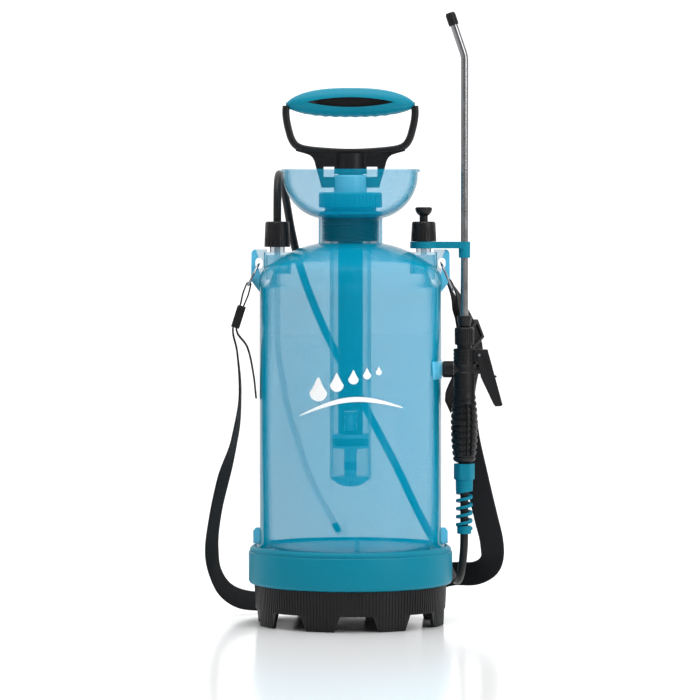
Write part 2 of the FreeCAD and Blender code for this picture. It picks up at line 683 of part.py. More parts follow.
def handle_frame():
    """The dark D-frame with a hub for the plunger and two legs beside the collar."""
    half = S.handle_half
    bar = S.handle_bar
    loop = S.loop_half
    ring = plate("handle_loop", mirrored([
        (-25, bar), (-50, bar - 4.1), (5 - half, bar - 8.6), (-half, bar - 16.6), (0.6 - half, bar - 25),
        (2.6 - half, bar - 35), (5.2 - half, bar - 44), (9 - half, bar - 51), (15 - half, bar - 56.3),
        (-44, bar - 59), (-18, S.handle_low + 2)]), S.handle_thick)
    hole = plate("handle_hole", mirrored([
        (-59.6, S.bar_low), (-loop, 532), (0.8 - loop, 524), (2.8 - loop, 516), (7.2 - loop, 504),
        (13.4 - loop, 498.8), (-18, S.loop_low)]), S.handle_thick + 4)
    neck = plate("handle_neck", [
        (-39, S.handle_low + 3), (-36, S.collar_top + 8), (-30, S.cap_top + 4.8), (30, S.cap_top + 4.8),
        (36, S.collar_top + 8), (39, S.handle_low + 3)], S.handle_thick - 2)
    hub = rod("handle_hub", S.plunger_radius + 3, S.plunger_top + 3 - (S.collar_top + 1.2),
              (0, 0, S.collar_top + 1.2))
    slim_front = box("bar_slim_front", (-S.grip_half - 1, -30, S.bar_low - 4), (2 * S.grip_half + 2, 23, 40))
    slim_back = box("bar_slim_back", (-S.grip_half - 1, 7, S.bar_low - 4), (2 * S.grip_half + 2, 23, 40))
    windows = [box(f"handle_window_{i}", (x, -20, 467), (11, 40, 10.5)) for i, x in enumerate((-28, 17))]
    room = [
        hole, slim_front, slim_back,
        rod("handle_collar_room", S.collar_radius + 0.9, 30, (0, 0, S.collar_top + 1.2 - 30)),
        rod("handle_plunger_bore", S.plunger_radius + 0.02, S.plunger_top - 450, (0, 0, 450))]
    return cut("handle_frame", fused("handle_joined", [ring, neck, hub]), room + windows)


def handle_grip():
    """The coloured hand grip moulded round the frame's bar."""
    half = S.grip_half
    bar = S.handle_bar
    clear = 0.2
    grip = plate("grip_block", [
        (5 - half, S.grip_side, 298, -1), (half - 5, S.grip_side), (half, S.grip_side + 7),
        (half - 9, S.grip_side + 14.8, 168, -1), (9 - half, S.grip_side + 14.8), (-half, S.grip_side + 7)],
        S.grip_thick)
    round_edges(grip, "grip_tips", 3, along_y)
    round_edges(grip, "grip_rounding", 3, lambda edge: in_side(edge, S.grip_thick / 2))
    reach = S.handle_half + 5
    tunnel = plate("grip_tunnel", mirrored([
        (-25, bar + clear), (-50, bar - 4.1 + clear), (4.8 - S.handle_half, bar - 8.6 + clear),
        (-reach, bar - 8.6), (-reach, S.grip_low - 5), (-59.4, S.grip_low - 5),
        (-59.4, S.bar_low - clear)]), 14.2)
    lens = plate("grip_lens", [(-46, 544, 178, -1), (46, 544, 178, -1)], S.grip_thick + 10)
    return cut("handle_grip", grip, [tunnel, lens])


# ---------------------------------------------------------------- gun


def gun_body():
    """The gun's valve block: bell, cross barrel, trigger ear and flow ways."""
    r = S.gun_radius
    x = S.gun_x
    core = turned("gun_core", [
        (0, S.gun_low), (r, S.gun_low), (r, 262.5), (9.8, 264), (9.8, 268, 6, -1), (r, 273.5), (r, S.gun_top),
        (S.stub_radius, S.gun_top), (S.stub_radius, 291.6), (6.9, 291.6), (6.9, 296.4), (0, 296.4)], (x, 0, 0))
    barrel = rod("gun_barrel", 7.8, 23, (108, 0, S.barrel_z), (1, 0, 0))
    boss = rod("gun_boss", 5, 10, (125.6, 0, S.barrel_z), (1, 0, 0))
    ear_round = 3.2
    ear_low = 274.5
    ear = box("gun_ear", (x, -5.4, ear_low), (S.pivot_x - x, 10.8, S.pivot_z + ear_round - ear_low))
    ear_end = rod("gun_ear_end", ear_round, 10.8, (S.pivot_x, 5.4, S.pivot_z), (0, -1, 0))
    ways = [
        rod("gun_inlet", 3, 6, (x, 0, S.gun_low - 0.1)),
        rod("gun_side_way", 2, x - 112, (112, 0, 246.5), (1, 0, 0)),
        rod("gun_rise", 2, 18, (112.5, 0, 246.5)),
        rod("gun_chamber", 5.5, 11, (106, 0, S.barrel_z), (1, 0, 0)),
        rod("gun_seat", 3.6, 8, (116.5, 0, S.barrel_z), (1, 0, 0)),
        rod("gun_stem_way", 2.6, 20, (120, 0, S.barrel_z), (1, 0, 0)),
        rod("gun_outlet", 2.6, 25, (x + 1, 0, S.barrel_z)),
        rod("gun_lance_socket", S.lance_radius + 0.05, 20, (x, 0, S.lance_low)),
        rod("gun_oring_groove", 5.6, 2.2, (x, 0, 289.2)),
        rod("gun_pin_hole", 1.5, 20, (S.pivot_x, 10, S.pivot_z), (0, -1, 0))]
    return cut("gun_body", fused("gun_joined", [core, barrel, boss, ear, ear_end]), ways)


def gun_grip():
    """The barrel-shaped grip below the valve block, with room for a filter."""
    low = 170.0
    top = S.gun_low
    body = turned("grip_barrel", [
        (0, low - 1.5), (7.3, low - 1.5), (7.3, low), (10.6, low), (11.6, low + 1.6, 175, -1),
        (14.2, low + 40, 170, -1), (11.4, top - 2.6), (11.2, top), (3, top), (3, top - 3), (5.6, top - 3),
        (5.6, low + 8), (3, low + 8), (3, low + 5), (0, low + 5)], (S.gun_x, 0, 0))
    through = rod("grip_way", 3, 20, (S.gun_x, 0, low - 5))
    slots = []
    for i, (across, face) in enumerate(((-3.2, -1), (1.0, -1), (-3.2, 1), (1.0, 1))):
        y = -15.5 if face < 0 else 13
        slots.append(box(f"grip_slot_{i}", (S.gun_x + across, y, 182), (2.2, 2.5, 50)))
    return cut("gun_grip", body, [through] + slots)


def gun_small_parts():
    """Lance nut, valve cap, filter, o-ring and the pieces of the trigger valve."""
    x = S.gun_x
    z = S.barrel_z
    at = (x, 0, 0)
    nut = ribbed("lance_nut", [
        (7.0, 291.8), (9.5, 291.8), (10.1, 293), (10.3, 308.6), (9.2, 310), (5.6, 310), (5.6, 301.4),
        (7.0, 301.4)], 24, 0.6, 1.1, 293.5, 14, 10.2, at)
    cap = ribbed("gun_valve_cap", [
        (0, 95.9), (7.2, 95.9), (8.7, 97.4), (8.7, 107.5), (5.5, 107.5), (5.5, 98.6), (0, 98.6)],
        20, 0.6, 1.2, 98.5, 8, 8.7, (0, 0, z), (1, 0, 0))
    spring = turned("gun_valve_spring", [(3.4, 103.3), (4.6, 103.3), (4.6, 112.9), (3.4, 112.9)],
                    (0, 0, z), (1, 0, 0))
    stem = turned("gun_valve_stem", [(0, 113), (5, 113), (5, 114.5), (2.5, 114.5), (2.5, 145.4), (1.6, 146.2),
                                     (0, 146.2)], (0, 0, z), (1, 0, 0))
    seal = turned("gun_valve_seal", [(2.5, 114.5), (5, 114.5), (5, 116.9), (2.5, 116.9)], (0, 0, z), (1, 0, 0))
    oring = turned("lance_oring", [
        (S.lance_radius + 0.05, 289.4), (5.5, 289.4), (5.5, 291.2), (S.lance_radius + 0.05, 291.2)], at)
    filter_tube = turned("grip_filter", [(3, 180), (5.4, 180), (5.4, 238), (4.6, 238), (4.6, 182), (3, 182)], at)
    pin = rod("trigger_pin", 1.45, 14.4, (S.pivot_x, 7.2, S.pivot_z), (0, -1, 0))
    return [nut, cap, spring, stem, seal, oring, filter_tube, pin]


def trigger():
    """The trigger: a channel whose cheeks straddle the gun and whose web pushes the valve stem."""
    outer = plate("trigger_block", [
        (132.6, 287), (143.1, 287), (151.2, 257.4), (158.9, 229), (156.6, 227.8), (151.4, 227.6), (149.6, 229.4),
        (136.4, 257.4), (132.2, 279)], 2 * S.trigger_half)
    room = plate("trigger_room", [
        (128, 284.6), (141.6, 284.6), (149.2, 257), (153, 242), (140, 242), (126, 262)], 2 * S.cheek_inner)
    recess = [(136.2, 281.6), (138.8, 282.4), (141.2, 274.2), (138.6, 273.4)]
    recesses = [
        plate("trigger_recess_front", recess, 2, (0, -S.trigger_half, 0)),
        plate("trigger_recess_back", recess, 2, (0, S.trigger_half, 0))]
    nub = rod("trigger_nub", 1.1, 6, (151.6, 3, 258.7), (0, -1, 0))
    hole = rod("trigger_pin_hole", 1.52, 30, (S.pivot_x, 15, S.pivot_z), (0, -1, 0))
    return cut("trigger", fused("trigger_joined", [outer, nub]), [room, hole] + recesses)


def hose_end_parts():
    """The hex nut, the hose tail inside it and the coiled bend guard below the gun."""
    x = S.gun_x
    nut = made("Part::Prism", "hose_nut_hex")
    nut.Polygon = 6
    nut.Circumradius = 11.4
    nut.Height = 16.8
    place(nut, (x, 0, 150.7))
    sides = turned("hose_nut_limit", [
        (0, 143), (9, 143), (9.2, 150.2), (10, 150.8), (10.9, 151.6), (10.9, 167.5), (0, 167.5)], (x, 0, 0))
    skirt = rod("hose_nut_skirt", 9.0, 8, (x, 0, 143))
    hexed = made("Part::Common", "hose_nut_trimmed")
    hexed.Base = fused("hose_nut_joined", [nut, skirt])
    hexed.Tool = sides
    room = [
        rod("hose_nut_thread", 6.6, 14, (x, 0, 155.2)),
        rod("hose_nut_bore", S.hose_radius + 0.15, 30, (x, 0, 140))]
    hose_nut = cut("hose_nut", hexed, room)
    tail = turned("hose_tail", [
        (1.8, 143.6), (S.hose_radius, 143.6), (S.hose_radius, 155.3), (6.4, 155.3), (6.4, 168.4), (1.8, 168.4)],
        (x, 0, 0))
    guard_parts = [turned("guard_top", [
        (S.hose_radius + 0.15, 139.4), (8.7, 139.4), (8.9, 142.9), (S.hose_radius + 0.15, 142.9)], (x, 0, 0))]
    guard_parts.append(turned("guard_end", [
        (S.hose_radius + 0.15, 94), (6.9, 94), (7.5, 95), (7.5, 101.2), (6.9, 102.4),
        (S.hose_radius + 0.15, 102.4)], (x, 0, 0)))
    for i in range(4):
        z = 107.2 + 8.2 * i
        guard_parts.append(turned(f"guard_turn_{i}", [
            (S.hose_radius + 0.45, z), (8.2, z), (8.7, z + 1.4), (8.2, z + 2.8), (S.hose_radius + 0.45, z + 2.8)],
            (x, 0, 0)))
    for i in range(3):
        angle = math.radians(90 + 120 * i)
        guard_parts.append(rod(f"guard_rib_{i}", 1.1, 40, (
            x + 6.2 * math.cos(angle), 6.2 * math.sin(angle), 101)))
    guard = fused("hose_guard", guard_parts)
    return [hose_nut, tail, guard]


# ---------------------------------------------------------------- lance


def lance_parts():
    """The lance tube, its collar, the nozzle's core and the turning nozzle cap."""
    x = float(S.gun_x)
    lean = math.radians(float(S.lance_lean))
    tip_way = Vector(-math.sin(lean), 0, math.cos(lean))
    knee = Vector(x, 0, float(S.lance_knee))
    reach = float(S.lance_reach)
    path = rounded_wire([Vector(x, 0, float(S.lance_low)), knee, knee + tip_way * (reach - 12)], [28])
    tube = feature("lance_tube", swept(path, S.lance_radius).cut(swept(path, S.lance_bore)))
    collar = turned("lance_collar", [
        (S.lance_radius + 0.02, 296.6), (6.8, 296.6), (6.8, 300), (5.5, 300), (5.5, 310.6), (6.2, 311),
        (8, 321.4), (7.4, 322.2), (S.lance_radius + 0.02, 322.2)], (S.gun_x, 0, 0))
    way = tuple(tip_way)
    core = turned("nozzle_core", [
        (0.8, -5), (S.lance_bore - 0.02, -5), (S.lance_bore - 0.02, 0), (S.lance_radius, 0),
        (S.lance_radius, 7), (1.6, 9), (0.8, 9)], tuple(knee + tip_way * (reach - 12)), way)
    cap = ribbed("nozzle_cap", [
        (S.lance_radius + 0.07, -2), (4.9, -2), (5.3, -1), (5.3, 9.6), (4.2, 11.8), (0.7, 12), (0.7, 9.4),
        (S.lance_radius + 0.07, 9.4)], 14, 0.5, 1.0, 0, 8, 5.3, tuple(knee + tip_way * (reach - 12)), way)
    return [tube, collar, core, cap]


# ---------------------------------------------------------------- hose


def spray_hose():
    """The hose from the outlet nut, behind the tank, to the gun."""
    route = [
        Vector(-76.4, 0, 420.5), Vector(-76.4, 0, 441.5), Vector(-76.2, 11.5, 460.5),
        Vector(-75.4, 31, 470.5), Vector(-73.8, 54, 469.5), Vector(-71, 75, 457.5),
        Vector(-67.5, 89.5, 437), Vector(-62.5, 98, 406), Vector(-53.5, 102.5, 369),
        Vector(-39.5, 103.5, 331), Vector(-21.5, 103.5, 290), Vector(1, 103.5, 250),
        Vector(24, 103.5, 206), Vector(50, 103.5, 157), Vector(74, 104, 105), Vector(96, 101, 67),
        Vector(109.5, 80, 43), Vector(113, 50, 38), Vector(116.5, 20, 50), Vector(119, 0, 78),
        Vector(119, 0, 104)]
    radii = route_radii(route)
    print("hose radii", [round(r) for r in radii])
    path = rounded_wire(route, radii)
    inside_guard = S.hose_end - route[-1].z
    shape = swept(path, S.hose_radius)
    print("hose length", round(path.Length + inside_guard, 1))
    print("hose volume", round(shape.Volume), "expected", round(math.pi * S.hose_radius**2 * path.Length))
    straight = Part.makeCylinder(float(S.hose_radius), float(inside_guard), route[-1])
    return feature("spray_hose", shape.fuse(straight).removeSplitter())


# ---------------------------------------------------------------- carrying strap


def across(direction, wish):
    """The unit vector nearest to a wish that is square to a direction."""
    return (wish - direction * wish.dot(direction)).normalize()


class Hanger:
    """Where one end of the strap hangs: its ring, the loop of webbing through it and the slider."""

    def __init__(self, side, top, bar, slider, slider_across):
        self.side = side
        self.top = top
        self.down = (bar - top).normalize()
        self.bar = bar
        self.bar_way = across(self.down, Vector(0, 1, 0))
        self.slider = slider
        self.loop_way = (slider - bar).normalize()
        self.slider_way = across(self.loop_way, slider_across)

    def outward(self, way):
        """The face normal of the webbing that points away from the tank."""
        normal = self.loop_way.cross(way).normalize()
        return normal if normal.x * self.side > 0 else -normal


LEFT = Hanger(-1, Vector(-95.5, 0, 376.4), Vector(-106.5, 0, 354.4), Vector(-117, 0, 321), Vector(0, 1, 0))
RIGHT = Hanger(1, Vector(95, 0, 376.4), Vector(104.6, 11, 353.7), Vector(126, 41, 298), Vector(0.6, 0.8, 0))


def strap_ring(name, hanger):
    """A D-shaped wire ring through an ear."""
    bow = float(S.link_bow)
    wire = float(S.wire_radius)
    middle = hanger.top + hanger.down * bow
    depth = (hanger.bar - middle).dot(hanger.down)
    half = math.sqrt(bow**2 - depth**2)
    ends = [hanger.bar + hanger.bar_way * half, hanger.bar - hanger.bar_way * half]
    circle = Part.Arc(ends[0], hanger.top, ends[1]).toShape()
    arc = swept(Part.Wire([circle]), wire)
    bar = Part.makeCylinder(wire, 2 * half, ends[1], hanger.bar_way)
    shape = arc.fuse([bar, Part.makeSphere(wire, ends[0]), Part.makeSphere(wire, ends[1])])
    return feature(name, shape.removeSplitter())


def strap_slider(name, hanger):
    """A three-bar slider: the middle bar runs between the two layers of webbing."""
    half = float(S.strap_width) / 2 + 2
    length = float(S.slider_length)
    rail = 3.0
    depth = 8.4
    sink = 1.0
    width = 2 * (half + sink)
    parts = []
    for low in (-half - rail, half):
        parts.append(Part.makeBox(rail, length, depth, Vector(low, -length / 2, -depth / 2)))
    parts.append(Part.makeBox(width, 4, 2.2, Vector(-half - sink, -2, -1.1)))
    for low in (-length / 2, length / 2 - 3.4):
        parts.append(Part.makeBox(width, 3.4, 1.5, Vector(-half - sink, low, depth / 2 - 1.5)))
    shape = parts[0].fuse(parts[1:]).removeSplitter()
    outward = hanger.outward(hanger.slider_way)
    turn = FreeCAD.Rotation(hanger.slider_way, outward.cross(hanger.slider_way), outward, "XYZ")
    item = feature(name, shape)
    item.Placement = FreeCAD.Placement(hanger.slider, turn)
    return item


def loop_stations(hanger):
    """The webbing from the slider up its inner layer, over the ring's bar and down the outer layer."""
    gap = 1.9
    half = float(S.slider_length) / 2 + 2
    up = -hanger.loop_way
    inner = []
    outer = []
    length = (hanger.slider - hanger.bar).Length
    for along, spread in ((half, gap), (-half, gap), (-0.5 * (half + length), 2.9), (3 - length, 2.5)):
        share = min(1.0, max(0.0, (-along - half) / (length - half)))
        way = across(up, hanger.slider_way * (1 - share) + hanger.bar_way * share)
        normal = hanger.outward(way)
        middle = hanger.slider + hanger.loop_way * along
        inner.append((middle - normal * spread, way))
        outer.append((middle + normal * spread, way))
    over = []
    normal = hanger.outward(across(up, hanger.bar_way))
    for degrees in (-60, -20, 20, 60):
        angle = math.radians(degrees)
        over.append((hanger.bar + (up * math.cos(angle) + normal * math.sin(angle)) * 2.5, hanger.bar_way))
    return inner + over + outer[::-1]


def strap_stations():
    """Every station of the webbing, from the left tail to the right tail: (middle, width way)."""
    y_way = Vector(0, 1, 0)
    left_tail = [
        (Vector(-98.5, -4, 236), y_way), (Vector(-101.5, -2, 262), y_way), (Vector(-108, 0, 290), y_way)]
    right_tail = [
        (Vector(126.5, 48, 274), Vector(0.5, 0.85, 0.2)), (Vector(119, 42, 262), Vector(0.5, 0.85, 0)),
        (Vector(111, 33, 250), Vector(0.45, 0.88, 0)), (Vector(105, 24, 237), Vector(0.4, 0.9, 0)),
        (Vector(102.5, 17, 226), Vector(0.3, 0.95, 0))]
    hanging = [
        (Vector(-118.5, 1, 285), y_way), (Vector(-115.5, 3, 240), Vector(0.05, 1, 0)),
        (Vector(-121, 8, 195), Vector(0.22, 0.97, 0)), (Vector(-133, 16, 152), Vector(0.5, 0.86, 0.1)),
        (Vector(-142.5, 26, 110), Vector(0.46, 0.87, 0.1)), (Vector(-146.5, 40, 72), Vector(0.5, 0.84, 0.2)),
        (Vector(-140, 58, 40), Vector(0.3, 0.75, 0.5)), (Vector(-124, 78, 21), Vector(0.2, 0.75, 0.6)),
        (Vector(-98, 100, 13.5), Vector(0.1, 0.7, 0.55)), (Vector(-56, 122, 12.5), Vector(0, 0.8, 0.5)),
        (Vector(-8, 132, 13.5), Vector(0, 0.7, 0.6)), (Vector(40, 129, 20), Vector(-0.1, 0.5, 0.8)),
        (Vector(78, 113, 32), Vector(-0.2, 0.3, 0.9)), (Vector(108, 94, 43), Vector(-0.1, 0.2, 1)),
        (Vector(134, 74, 46), Vector(-0.2, 0.1, 1)), (Vector(148.5, 57, 58), Vector(-0.7, 0.1, 0.6)),
        (Vector(149.5, 43, 80), Vector(-1, 0.1, 0.1)), (Vector(143, 34, 108), Vector(-1, 0.1, -0.2)),
        (Vector(133, 29, 150), Vector(-1, 0.1, -0.3)), (Vector(122, 31, 203), Vector(-1, 0, -0.2)),
        (Vector(121.5, 39, 243), Vector(-0.8, -0.6, -0.1)),
        (Vector(131.5, 46, 272), Vector(-0.55, -0.75, -0.35))]
    left_loop = loop_stations(LEFT)
    right_loop = loop_stations(RIGHT)
    flip = [(middle, way * -1) for middle, way in right_loop[::-1]]
    tail = [(middle, way * -1) for middle, way in right_tail]
    return left_tail + left_loop + hanging + flip + tail


def strap_web():
    """The webbing: flat sections joined edge to edge, each square to the way the strap runs."""
    stations = strap_stations()
    width = float(S.strap_width) / 2
    thick = float(S.strap_thick) / 2
    sections = []
    for i, (middle, way) in enumerate(stations):
        ahead = stations[min(i + 1, len(stations) - 1)][0] - middle
        behind = middle - stations[max(i - 1, 0)][0]
        run = Vector()
        for step in (ahead, behind):
            if step.Length > 1e-9:
                run = run + step.normalize()
        side = across(run.normalize(), way)
        normal = run.cross(side).normalize()
        corners = [
            middle + side * (width * a) + normal * (thick * b)
            for a, b in ((-1, -1), (1, -1), (1, 1), (-1, 1), (-1, -1))]
        sections.append(Part.makePolygon(corners))
    return feature("strap_web", Part.makeLoft(sections, True, True))


# ---------------------------------------------------------------- build, check and write


def build():
    nodes = [tank_shell(), base_ring(), base_foot(), funnel()]
    nodes += outlet_parts() + dip_parts() + valve_parts()
    nodes += [lance_holder(), pump_cap(), pump_cylinder()]
    nodes += pump_fixed_parts() + piston_parts()
    nodes += [plunger_tube(), handle_frame(), handle_grip()]
    nodes += [gun_body(), gun_grip(), trigger()] + gun_small_parts() + hose_end_parts()
    nodes += lance_parts()
    nodes += [spray_hose(), strap_web()]
    nodes += [strap_ring("strap_ring_left", LEFT), strap_ring("strap_ring_right", RIGHT)]
    nodes += [strap_slider("strap_slider_left", LEFT), strap_slider("strap_slider_right", RIGHT)]
    doc.recompute()
    return nodes


def check(nodes):
    """Stop if any object failed or any sub-part isn't one valid solid."""
    for item in doc.Objects:
        if "Invalid" in item.State or "Error" in item.State:
            raise SystemExit(f"{item.Label} failed: {item.State}")
    for node in nodes:
        shape = node.Shape
        if shape.isNull() or not shape.isValid() or shape.Volume <= 0:
            raise SystemExit(f"{node.Label} has no valid shape")
        if len(shape.Solids) != 1:
            raise SystemExit(f"{node.Label} has {len(shape.Solids)} solids")


def write(nodes):
    os.makedirs("parts", exist_ok=True)
    for node in nodes:
        node.Shape.exportStep(f"parts/{node.Label}.step")
    print("wrote", len(nodes), "parts")


nodes = build()
check(nodes)
write(nodes)
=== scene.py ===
import json
import math

import bmesh
import bpy
from mathutils import Matrix, Vector


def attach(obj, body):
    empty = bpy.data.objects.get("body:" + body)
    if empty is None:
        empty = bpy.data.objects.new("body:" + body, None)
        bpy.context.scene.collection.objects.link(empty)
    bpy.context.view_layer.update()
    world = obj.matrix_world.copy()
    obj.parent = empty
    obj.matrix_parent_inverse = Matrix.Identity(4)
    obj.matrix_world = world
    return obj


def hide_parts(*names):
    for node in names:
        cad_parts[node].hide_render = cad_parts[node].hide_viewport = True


bl_info = {
    "name": "Pump Sprayer",
    "version": (1, 0, 0),
    "blender": (4, 5, 0),
    "location": "3D View > Sidebar > Sprayer",
    "description": "Finishes a hand-pumped pressure sprayer over its packed frame",
    "category": "Add Mesh",
}

# A clear pressure sprayer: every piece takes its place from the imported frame, in metres,
# with +Z up, -Y to the front and the gun on the +X side.

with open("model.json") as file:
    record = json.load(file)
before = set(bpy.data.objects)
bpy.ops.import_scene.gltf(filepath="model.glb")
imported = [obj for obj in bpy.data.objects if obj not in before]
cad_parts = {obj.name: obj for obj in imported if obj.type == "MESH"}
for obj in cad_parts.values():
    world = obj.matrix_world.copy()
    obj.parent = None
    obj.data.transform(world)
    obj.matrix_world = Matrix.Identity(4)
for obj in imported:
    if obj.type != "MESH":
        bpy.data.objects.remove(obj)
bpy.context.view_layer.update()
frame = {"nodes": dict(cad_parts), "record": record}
BODY_OF = {
    node: body
    for body, nodes in frame["record"]["behaviour"]["bodies"].items()
    for node in nodes
}
SLOT_OF = {part["node"]: part["material_slot"] for part in frame["record"]["subparts"]}
MM = 0.001
FULL_TURN = 2 * math.pi


# ---------------------------------------------------------------- sizes and colours


def length(name, description, default):
    """A distance the user can change."""
    return bpy.props.FloatProperty(
        name=name, description=description, default=default, subtype="DISTANCE", unit="LENGTH", precision=4)


def colour(name, description, default):
    """A colour the user can change."""
    return bpy.props.FloatVectorProperty(
        name=name, description=description, default=default, size=3, subtype="COLOR", min=0, max=1)


class SprayerSizes(bpy.types.PropertyGroup):
    hose_diameter: length("Hose", "Outside of the hose", 0.0085)
    webbing_width: length("Webbing", "Width of the carrying strap", 0.025)
    webbing_thickness: length("Webbing thickness", "Thickness of the carrying strap", 0.0013)
    guard_pitch: length("Guard pitch", "Rise of one turn of the hose's bend guard", 0.0084)
    rib_pitch: length("Finger ribs", "Distance between the finger ribs of the gun's grip", 0.0065)
    flute_pitch: length("Foot flutes", "Distance between the upright flutes of the foot", 0.0036)
    edge_round: length("Edges", "Rounding of the moulded edges", 0.0004)
    camera_distance: length("Camera distance", "From the sprayer's axis to the camera", 4.4)
    camera_side: length("Camera side", "How far right of the sprayer's axis the camera stands", -0.0005)
    camera_height: length("Camera height", "Height of the camera above the floor", 0.45)
    aim_height: length("Aim height", "Height the camera looks at", 0.2863)


class SprayerColours(bpy.types.PropertyGroup):
    teal: colour("Teal", "Base ring, grip, pump cap and guard", (0.003, 0.205, 0.300))
    clear: colour("Clear blue", "Tint of the tank's and funnel's walls", (0.000, 0.425, 0.665))
    rim: colour("Wall rim", "Clear walls seen along their depth", (0.000, 0.200, 0.300))
    lug: colour("Lug blue", "Solid lugs and ears of the tank", (0.100, 0.500, 0.740))
    pale: colour("Pale blue", "Inner mouldings of the pump", (0.20, 0.52, 0.70))
    # Thread shade: a darker copy of the teal, painted shade on the pump cap's thread inside the neck.
    thread_shade: colour("Thread", "Thread of the pump cap", (0.002, 0.070, 0.110))
    black: colour("Black", "Handle, foot, gun and nuts", (0.009, 0.009, 0.010))
    rubber: colour("Rubber", "Hose and seals", (0.012, 0.012, 0.013))
    webbing: colour("Webbing", "Carrying strap", (0.006, 0.006, 0.007))
    steel: colour("Steel", "Lance and rings", (0.30, 0.30, 0.31))
    mark: colour("Mark", "Printed drops and sweep on the tank", (0.90, 0.92, 0.93))
    floor: colour("Floor", "Studio floor", (0.96, 0.96, 0.96))


# ---------------------------------------------------------------- shader groups


def new_group(name, inputs, outputs):
    """A shader node group with named sockets, and its two end nodes."""
    group = bpy.data.node_groups.new(name, "ShaderNodeTree")
    for label, kind, default in inputs:
        socket = group.interface.new_socket(label, in_out="INPUT", socket_type=kind)
        socket.default_value = default
    for label, kind in outputs:
        group.interface.new_socket(label, in_out="OUTPUT", socket_type=kind)
    return group, group.nodes.new("NodeGroupInput"), group.nodes.new("NodeGroupOutput")


def added(tree, kind, **settings):
    """A node with its attributes set, and its input sockets by name or place."""
    node = tree.nodes.new(kind)
    sockets = settings.pop("sockets", {})
    for name, value in settings.items():
        setattr(node, name, value)
    for name, value in sockets.items():
        node.inputs[name].default_value = value
    return node


def moulded_plastic_group():
    """Injection-moulded plastic: broad shade, fine grain and a little handling gloss."""
    group, start, end = new_group(
        "moulded_plastic",
        [("Colour", "NodeSocketColor", (0.5, 0.5, 0.5, 1)), ("Roughness", "NodeSocketFloat", 0.4),
         ("Shade", "NodeSocketFloat", 0.12), ("Grain", "NodeSocketFloat", 900.0)],
        [("Colour", "NodeSocketColor"), ("Roughness", "NodeSocketFloat"), ("Height", "NodeSocketFloat")])
    link = group.links.new
    place = added(group, "ShaderNodeTexCoord")
    broad = added(group, "ShaderNodeTexNoise", sockets={"Scale": 28.0, "Detail": 3.0, "Roughness": 0.55})
    fine = added(group, "ShaderNodeTexNoise", sockets={"Detail": 2.0, "Roughness": 0.6})
    link(place.outputs["Object"], broad.inputs["Vector"])
    link(place.outputs["Object"], fine.inputs["Vector"])
    link(start.outputs["Grain"], fine.inputs["Scale"])
    centred = added(group, "ShaderNodeMath", operation="SUBTRACT", sockets={1: 0.5})
    link(broad.outputs["Fac"], centred.inputs[0])
    swing = added(group, "ShaderNodeMath", operation="MULTIPLY_ADD", sockets={2: 1.0})
    link(centred.outputs[0], swing.inputs[0])
    link(start.outputs["Shade"], swing.inputs[1])
    shaded = added(group, "ShaderNodeVectorMath", operation="SCALE")
    link(start.outputs["Colour"], shaded.inputs[0])
    link(swing.outputs[0], shaded.inputs["Scale"])
    link(shaded.outputs[0], end.inputs["Colour"])
    gloss = added(group, "ShaderNodeMath", operation="MULTIPLY_ADD", sockets={1: 0.22})
    link(centred.outputs[0], gloss.inputs[0])
    link(start.outputs["Roughness"], gloss.inputs[2])
    link(gloss.outputs[0], end.inputs["Roughness"])
    link(fine.outputs["Fac"], end.inputs["Height"])
    return group


